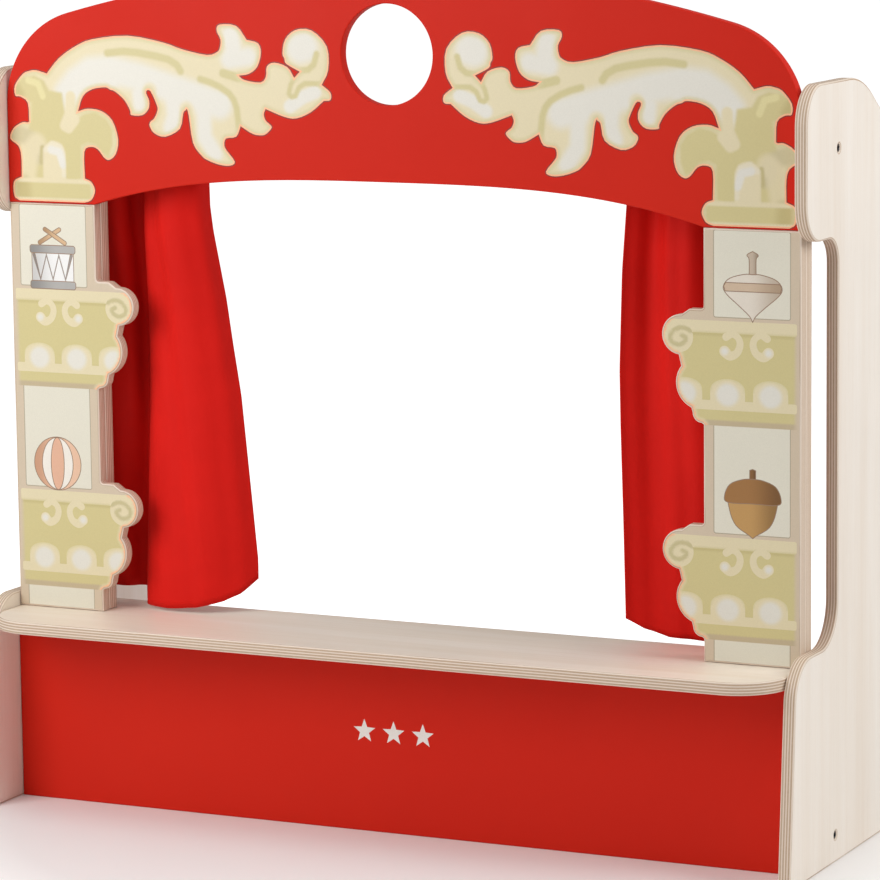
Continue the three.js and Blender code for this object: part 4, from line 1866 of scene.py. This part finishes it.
LEFT_FALL = Fall(
    Side.LEFT,
    262 * MM,
    (
        (0.225, 0.1745), (0.275, 0.179), (0.335, 0.1845), (0.395, 0.190), (0.444, 0.1975),
        (0.494, 0.2045), (0.563, 0.2175), (0.588, 0.2205), (0.70, 0.2225),
    ),
    (
        (0.1745, 0.226), (0.19, 0.212), (0.204, 0.205), (0.227, 0.198), (0.25, 0.1955),
        (0.285, 0.1965), (0.30, 0.206), (0.39, 0.211),
    ),
    ((0, 0), (0.08, 70), (0.19, -78), (0.35, 6), (0.48, 80), (0.59, -62), (0.75, -20), (1, 60)),
    ((0, 0), (0.06, 50), (0.15, -40), (0.24, 10), (0.31, 55), (0.41, -72), (0.65, 0), (1, 42)),
)
RIGHT_FALL = Fall(
    Side.RIGHT,
    236 * MM,
    (
        (0.203, 0.2155), (0.30, 0.2135), (0.387, 0.2113), (0.444, 0.2105), (0.54, 0.2135),
        (0.607, 0.2185), (0.70, 0.222),
    ),
    ((0.2135, 0.2165), (0.228, 0.205), (0.245, 0.1975), (0.27, 0.1955), (0.30, 0.197), (0.39, 0.2)),
    ((0, 0), (0.13, 70), (0.28, -70), (0.42, 55), (0.62, -38), (0.82, 34), (0.95, -36), (1, -36)),
    ((0, 0), (0.13, 82), (0.28, -82), (0.42, 66), (0.58, -6), (0.77, -2), (0.92, -12), (1, -38)),
)


def summed(values: Array) -> Array:
    """The running sum along each row, from 0, of the mean of each two neighbours."""
    sums = np.cumsum((values[:, 1:] + values[:, :-1]) / 2, axis=1)
    return np.column_stack([np.zeros(len(values)), sums])


def waves(turns: float, start: float, u: Array) -> Array:
    """A sine of so many turns across the sheet, which starts at a share of a turn."""
    return np.sin(2 * math.pi * (turns * u + start))


@dataclass(frozen=True)
class Curtains:
    """Two gathered curtains of one sheet each, sewn over into a pocket round the rod.

    Across the sheet the cloth's tangent swings between turning values along half cosines, and its
    place is the running sum of the cosine and sine of that angle. So each row keeps the sheet's
    flat width, and the swing that gives the row its hung width is found by halving. The creases
    that the gathers leave are sine waves: how many there are across the sheet, where they start as
    a share of a wave, and how far they turn the cloth in degrees.
    """

    finishes: Finishes
    thickness: float = 0.9 * MM
    outer: float = 386 * MM
    skew: float = 10 * MM
    edge_back: float = -6 * MM
    edge_held: float = 0.12
    pleats: Pair = (5.0, 0.97)
    pleats_left: float = 0.04
    folds_from: float = 0.14
    folds_to: float = 0.96
    folds_at_rod: float = 0.2
    creases: tuple[tuple[float, float, float], ...] = ((7.3, 0.15, 11.0), (12.1, 0.6, 6.5))
    crease_fade: float = 0.5
    header_top: float = 691.7 * MM
    stitch_drop: float = 17 * MM
    pocket_clear: float = 1.2 * MM
    pocket_reach: float = 1.6
    rod_bulge: tuple[float, int] = (0.95, 4)
    pleat_bulge: tuple[float, int] = (1.35, 6)
    layer_gap: float = 1.4 * MM
    layers_part: float = 0.93
    columns: int = 200
    lower_rows: int = 62
    pocket_rows: int = 26
    most_swing: float = 2.2
    halvings: int = 30

    def rows(self, stitch: float) -> tuple[Array, Array, Array]:
        """The sheet's path from its hem up round the rod, over the top and back to the stitches.

        Args:
            stitch: The height of the stitches under the rod.

        Returns:
            For each row: a share up the free fall (0 at the hem, 1 from the stitches on), the height
            of the folded rows, and the offset from the fold's middle in Y, where 1 is the full way
            round the rod.
        """
        free = np.linspace(0, 1, self.lower_rows)
        up = np.linspace(0, 1, self.pocket_rows)[1:]
        front = stitch + (self.header_top - stitch) * up
        turn = arc((0, 0), 1, 180, 0, 8)[1:-1]
        over = self.header_top + turn[:, 1] * self.layer_gap / 2
        heights = np.concatenate([np.full(len(free), stitch), front, over, front[::-1], [stitch]])
        sides = np.concatenate([-np.ones(len(free) + len(up)), turn[:, 0], np.ones(len(up) + 1)])
        shares = np.concatenate([free, np.ones(len(heights) - len(free))])
        return shares, heights, sides

    def hem(self, fall: Fall, u: Array) -> Array:
        """The hem's height at shares across the sheet."""
        inner_heights, inner = np.array(fall.inner_edge).T
        places, heights = np.array(fall.hem).T
        width = self.outer - np.interp(heights[0], inner_heights, inner)
        return np.interp(self.outer - u * width, places, heights)

    def swing(self, fall: Fall, u: Array, fallen: Array) -> Array:
        """The shape of the tangent's swing, before it is scaled to a row's width.

        Args:
            fall: The curtain.
            u: Shares across the sheet, from its outer edge.
            fallen: Shares down the fall, from the rod.

        Returns:
            One value to each row and column.
        """
        share = np.clip((fallen - self.folds_from) / (self.folds_to - self.folds_from), 0, 1)[:, None, None]
        high, low = np.array(fall.high_turns), np.array(fall.low_turns)
        places, turns = np.moveaxis(high + (low - high) * share, -1, 0)
        way = (u[None, :, None] - places[:, None, :-1]) / np.diff(places)[:, None]
        eased = (1 - np.cos(math.pi * np.clip(way, 0, 1))) / 2
        folds = np.radians(turns[:, :1] + np.sum(eased * np.diff(turns)[:, None], axis=2))
        ease = soft_step(fallen, 0.0, self.folds_from)[:, None]
        creases = sum(math.radians(angle) * waves(turns, start, u) for turns, start, angle in self.creases)
        faint = ease * (1 - self.crease_fade * fallen[:, None]) * creases
        pleats = (1 - (1 - self.pleats_left) * ease) * waves(*self.pleats, u)
        return pleats + (self.folds_at_rod + (1 - self.folds_at_rod) * ease) * folds + faint

    def reach(self, swing: Array, ratio: Array) -> Array:
        """The factor on each row's swing that makes its hung width the wanted share of the flat one.

        Args:
            swing: The swing by row and column.
            ratio: The wanted share for each row.

        Returns:
            One factor for each row.
        """
        small, large = np.zeros(len(swing)), np.full(len(swing), self.most_swing)
        for _ in range(self.halvings):
            tried = (small + large) / 2
            wide = np.cos(swing * tried[:, None]).mean(axis=1) > ratio
            small, large = np.where(wide, tried, small), np.where(wide, large, tried)
        return (small + large) / 2

    def spread(self, fall: Fall, u: Array, middle: Array, fallen: Array) -> tuple[Array, Array]:
        """Where each point of the sheet lies across the curtain and in its depth.

        Args:
            fall: The curtain.
            u: Shares across the sheet, from its outer edge.
            middle: Each row's mean height.
            fallen: Each row's share down the fall, from the rod.

        Returns:
            How far in from the outer edge and how far behind the rod's axis, by row and column.
        """
        width = self.outer - np.interp(middle, *np.array(fall.inner_edge).T)
        swing = self.swing(fall, u, fallen)
        angle = swing * self.reach(swing, width / fall.flat_width)[:, None]
        step = fall.flat_width / self.columns
        x, y = summed(np.cos(angle)) * step, summed(np.sin(angle)) * step
        held = soft_step(fallen, 0.0, self.edge_held)[:, None]
        y -= (1 - held) * y.mean(axis=1, keepdims=True) + held * y[:, -1:]
        return x, y + held * (self.edge_back + self.skew * (1 - u))

    def pocket(self, y: Array, upward: Array, shares: Array, sides: Array, radius: float) -> Array:
        """How far the folded rows bulge round the rod, and where the free ones lean to the stitches.

        Each bulge falls off as the exponential of minus a power of the height in rod radii.

        Args:
            y: The sheet's depth without its pocket.
            upward: Each point's height over the rod's axis, in rod radii.
            shares: Each row's share up the free fall.
            sides: Each row's side of the fold.
            radius: The rod's radius.

        Returns:
            What to add to the depth.
        """
        upward = np.clip(upward, -self.pocket_reach, self.pocket_reach)
        round_rod, round_pleats = (
            np.exp(-((upward / reach) ** power)) for reach, power in (self.rod_bulge, self.pleat_bulge)
        )
        depth = np.where(sides[:, None] < 0, y.max(axis=1, keepdims=True), -y.min(axis=1, keepdims=True))
        push = (radius + self.pocket_clear) * round_rod + depth * round_pleats + self.layer_gap / 2
        lean = -soft_step(shares, self.layers_part, 1.0)[:, None] * self.layer_gap / 2
        return np.where((shares >= 1)[:, None], sides[:, None] * push, lean)

    def build_one(self, fall: Fall) -> None:
        """Makes one curtain.

        Args:
            fall: The curtain.
        """
        rod, radius = round_bar("curtain_rod")
        stitch = rod[1] - self.stitch_drop
        shares, heights, sides = self.rows(stitch)
        u = np.linspace(0, 1, self.columns + 1)
        hem = self.hem(fall, u)
        middle = np.where(shares < 1, hem.mean() + (stitch - hem.mean()) * shares, heights)
        fallen = np.clip((rod[1] - middle) / (rod[1] - hem.mean()), 0, 1)
        x, y = self.spread(fall, u, middle, fallen)
        z = np.where((shares < 1)[:, None], hem + (stitch - hem) * shares[:, None], heights[:, None])
        y = y + self.pocket(y, (z - rod[1]) / radius, shares, sides, radius)
        self.dress(fall, np.stack([fall.side.value * (self.outer - x), rod[0] + y, z], axis=-1), u)

    def dress(self, fall: Fall, points: Array, u: Array) -> None:
        """Args:
            fall: The curtain.
            points: Its points by row and column.
            u: The columns' shares across the sheet.
        """
        up = np.cumsum(np.linalg.norm(np.diff(points, axis=0), axis=2).mean(axis=1))
        up = np.concatenate([[0], up])
        flow = np.stack(np.broadcast_arrays(u[None] * fall.flat_width, up[:, None]), axis=-1)
        faces = grid_faces(*points.shape[:2])
        if fall.side is Side.RIGHT:
            faces = faces[:, ::-1]
        skin = Skin([self.finishes.cloth], flow=flow.reshape(-1, 2))
        name = f"{fall.side.word}_curtain_cloth"
        piece = new_piece(name, points.reshape(-1, 3), [faces], skin, crease=180)
        solid = piece.modifiers.new("thickness", "SOLIDIFY")
        solid.thickness = self.thickness
        solid.offset = 0
        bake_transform(piece)
        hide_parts(f"curtain_{fall.side.word}")

    def build(self) -> None:
        """Makes both curtains."""
        for fall in (LEFT_FALL, RIGHT_FALL):
            self.build_one(fall)


# Screws and dowels


def six_sided(angles: Array) -> Array:
    """A hexagon's radius at each angle, as a share of the radius of its corners."""
    sector = math.pi / 3
    return math.cos(sector / 2) / np.cos(angles % sector - sector / 2)


def cross_shaped(angles: Array) -> Array:
    """A cross's radius at each angle: 0.4 and 0.6 of the cube of the cosine of twice the angle."""
    return 0.4 + 0.6 * np.abs(np.cos(2 * angles)) ** 3


@dataclass(frozen=True)
class Screw:
    """One screw, turned from the tip to the rim of its head and down into its recess.

    The shank and the recess are shares of the head's radius. The point is a share of the shank's
    radius, how far up it lies and where the full shank starts, both in radii of the shank.
    """

    node: str
    axis: int
    towards_head: int
    head_height: float
    shank_share: float
    recess_share: float
    recess_depth: float
    recess: Tone
    straight: float = 0.0
    rim: float = 0.35 * MM
    core: float = 0.02
    point: tuple[float, float, float] = (0.8, 1.5, 2.2)
    recess_taper: float = 0.9
    sides: int = 36

    def profile(self, radius: float, length: float) -> Array:
        """The screw's half section as (distance from the axis, distance from the tip).

        Args:
            radius: The head's radius.
            length: The whole length.

        Returns:
            The points, one to a row.
        """
        shank, slot = radius * self.shank_share, radius * self.recess_share
        floor = length - self.recess_depth
        point, point_up, shank_up = self.point
        return np.array(
            [
                [self.core * radius, 0],
                [shank * point, point_up * shank],
                [shank, shank_up * shank],
                [shank, length - self.head_height],
                [radius, length - (self.rim + self.straight)],
                [radius, length - self.rim],
                [radius - self.rim, length],
                [slot + self.rim, length],
                [slot, length - self.rim],
                [slot * self.recess_taper, floor],
                [self.core * radius, floor],
            ]
        )

    def section(self, rows: Array, angles: Array) -> Array:
        """The recess's own shape in the last four rows, and a circle elsewhere."""
        inside = (np.arange(len(rows)) >= len(rows) - 4)[:, None]
        return np.where(inside, self.recess(angles)[None], 1.0)

    def build(self, finish: Material) -> None:
        """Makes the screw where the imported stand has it.

        Args:
            finish: The screw's steel.
        """
        low, high = lowest(self.node), highest(self.node)
        size = high - low
        other = [axis for axis in range(3) if axis != self.axis]
        radius, length = float(size[other].max()) / 2, float(size[self.axis])
        direction = np.zeros(3)
        direction[self.axis] = self.towards_head
        start = (low + high) / 2 - direction * length / 2
        profile = self.profile(radius, length)
        name = f"{self.node}_turned"
        piece = revolved(name, profile, start, direction, [finish], self.sides, self.section)
        finish_piece(piece, self.node)


@dataclass(frozen=True)
class Fasteners:
    """The socket screws of the rails, the countersunk screws of the pillars, and the dowels."""

    finishes: Finishes

    def build(self) -> None:
        """Makes the screws and finishes the hidden dowels."""
        for name, node in sorted(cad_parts.items()):
            if "dowel" in name:
                upright = name.startswith(("post", "front_top"))
                finish = self.finishes.beech_upright if upright else self.finishes.beech_level
                for slot in node.material_slots:
                    slot.link = "OBJECT"
                    slot.material = finish
            elif name.startswith(("rod_screw", "rail_screw")):
                outward = Side.LEFT.value if name.endswith("left") else Side.RIGHT.value
                shares = {"shank_share": 0.65, "recess_share": 0.56, "recess": six_sided}
                screw = Screw(name, 0, outward, head_height=3.2 * MM, recess_depth=2.2 * MM, **shares)
                screw.build(self.finishes.dark_steel)
            elif "screw" in name:
                shares = {"shank_share": 0.44, "recess_share": 0.55, "recess": cross_shaped}
                sizes = {"head_height": 2.6 * MM, "recess_depth": 1.4 * MM, "straight": 0.35 * MM}
                Screw(name, 1, 1, **sizes, **shares).build(self.finishes.bright_steel)


# The studio


@dataclass(frozen=True)
class SoftBox:
    """One square soft light that looks at the middle of the stand."""

    name: str
    place: tuple[float, float, float]
    size: float
    energy: float
    target: tuple[float, float, float] = (0.0, 0.0, 0.45)

    def build(self) -> None:
        """Makes the light."""
        lamp = bpy.data.lights.new(self.name, "AREA")
        lamp.size = self.size
        lamp.energy = self.energy
        light = bpy.data.objects.new(self.name, lamp)
        light.location = self.place
        light.rotation_euler = aim(np.array(self.target) - np.array(self.place))
        light.visible_camera = False
        bpy.context.scene.collection.objects.link(light)


@dataclass(frozen=True)
class Studio:
    """A white floor that fades into a white surround, with a near soft light from the left front."""

    floor_radius: float = 7.0
    floor_rings: int = 12
    floor_sides: int = 96
    hub: float = 0.001
    smudged: float = 0.15
    roughness: Pair = (0.5, 0.56)
    specular: float = 0.3
    surround: float = 0.32
    shown: float = 1.05
    glow: float = 0.85
    glow_near: float = 0.05
    glow_from: float = 0.42
    glow_to: float = 0.95
    lights: tuple[SoftBox, ...] = (
        SoftBox("left_front_softbox", (-0.85, -1.35, 1.1), 1.0, 15.5),
        SoftBox("right_softbox", (2.05, 0.1, 1.65), 1.4, 28.0),
        SoftBox("top_softbox", (0.1, -0.35, 2.6), 1.6, 8.0),
    )

    def floor_finish(self) -> Material:
        """A faint satin surface, which glows more with the distance from the stand."""
        coat = Coat("studio floor", "f6f3f2")
        nodes, smudge = coat.nodes, coat.handled()["Smudge"]
        away = nodes.add("VectorMath", operation="LENGTH")
        nodes.feed(away.inputs[0], coat.place)
        growing = nodes.ramp(away.outputs["Value"], self.glow_from, self.glow_to, self.glow_near, 1.0)
        seen = nodes.add("LightPath").outputs["Is Camera Ray"]
        coat.rough(smudge, self.roughness)
        coat.put(
            Base_Color=nodes.blend(nodes.times(smudge, self.smudged), linear("f1efee"), linear("ecebea")),
            Specular_IOR_Level=self.specular,
            Emission_Color=nodes.grey(nodes.times(growing, seen)),
            Emission_Strength=self.glow,
        )
        return coat.material

    def build_floor(self) -> None:
        """A round floor of rings, the nearer the narrower."""
        rings = np.linspace(self.hub, 1, self.floor_rings) ** 2 * self.floor_radius
        angles = np.arange(self.floor_sides) * 2 * np.pi / self.floor_sides
        around = np.column_stack([np.cos(angles), np.sin(angles), np.zeros_like(angles)])
        points = (rings[:, None, None] * around).reshape(-1, 3)
        faces = grid_faces(len(rings), len(angles), wrap=True)[:, ::-1]
        hub = np.arange(len(angles))[None]
        floor = new_piece("studio_floor", points, [faces, hub], Skin([self.floor_finish()]))

    def build_world(self) -> None:
        """A white surround that lights softly and shows as plain white."""
        world = bpy.data.worlds.new("studio")
        world.use_nodes = True
        nodes, white = Nodes(world.node_tree), (1, 1, 1, 1)
        light = world.node_tree.nodes["Background"]
        nodes.feed(light.inputs["Color"], white)
        nodes.feed(light.inputs["Strength"], self.surround)
        shown = nodes.add("Background", Color=white, Strength=self.shown)
        seen = nodes.add("LightPath").outputs["Is Camera Ray"]
        either = nodes.add("MixShader")
        for socket, value in zip(either.inputs, (seen, light.outputs[0], shown.outputs[0])):
            nodes.feed(socket, value)
        nodes.feed(world.node_tree.nodes["World Output"].inputs["Surface"], either.outputs[0])
        bpy.context.scene.world = world

    def build(self) -> None:
        """Makes the floor, the surround and the lights."""
        self.build_floor()
        self.build_world()
        for light in self.lights:
            light.build()
        settings = bpy.context.scene.view_settings
        settings.view_transform = "Standard"
        settings.look = "None"
        settings.exposure = 0.0
        settings.gamma = 1.0


def aim(direction: Array) -> Euler:
    """The turn that points an object's -Z along a direction, with Y up."""
    return Vector(direction.tolist()).to_track_quat("-Z", "Y").to_euler()


@dataclass(frozen=True)
class PhotoCamera:
    """The photograph's camera: its turn, its place, its focal length and the point it looks at."""

    yaw: float = 0.438214
    pitch: float = 0.150190
    roll: float = 0.010328
    place: tuple[float, float, float] = (1.7412, -3.6402, 0.9906)
    frame_pixels: float = 880
    focal_pixels: float = 4223.42
    middle_pixels: Pair = (470.445, 425.938)
    sensor: float = 36.0
    sight: Pair = (0.1, 60)

    def turn(self) -> Array:
        """The camera's own axes as columns: right, up and backwards."""
        forward = np.array(
            [
                -math.sin(self.yaw) * math.cos(self.pitch),
                math.cos(self.yaw) * math.cos(self.pitch),
                -math.sin(self.pitch),
            ]
        )
        level = np.array([math.cos(self.yaw), math.sin(self.yaw), 0])
        down = np.cross(forward, level)
        right = level * math.cos(self.roll) + down * math.sin(self.roll)
        down = down * math.cos(self.roll) - level * math.sin(self.roll)
        return np.column_stack([right, -down, -forward])

    def build(self) -> None:
        """Makes the camera and gives it to the scene."""
        matrix = np.eye(4)
        matrix[:3, :3] = self.turn()
        matrix[:3, 3] = self.place
        lens = bpy.data.cameras.new("photo_camera")
        lens.sensor_width = self.sensor
        lens.lens = self.focal_pixels * self.sensor / self.frame_pixels
        half = self.frame_pixels / 2
        lens.shift_x = (half - self.middle_pixels[0]) / self.frame_pixels
        lens.shift_y = (self.middle_pixels[1] - half) / self.frame_pixels
        lens.clip_start, lens.clip_end = self.sight
        camera = bpy.data.objects.new("photo_camera", lens)
        camera.matrix_world = Matrix(matrix.tolist())
        bpy.context.scene.collection.objects.link(camera)
        bpy.context.scene.camera = camera


def main() -> None:
    """Builds the camera, the studio and every part of the stand, and reports each piece."""
    PhotoCamera().build()
    Studio().build()
    finishes = mix_finishes()
    for part in (SidePanels, Fascia, StageBoards, Pillars, Rails, Curtains, Fasteners):
        part(finishes).build()


if __name__ == "__main__":
    main()
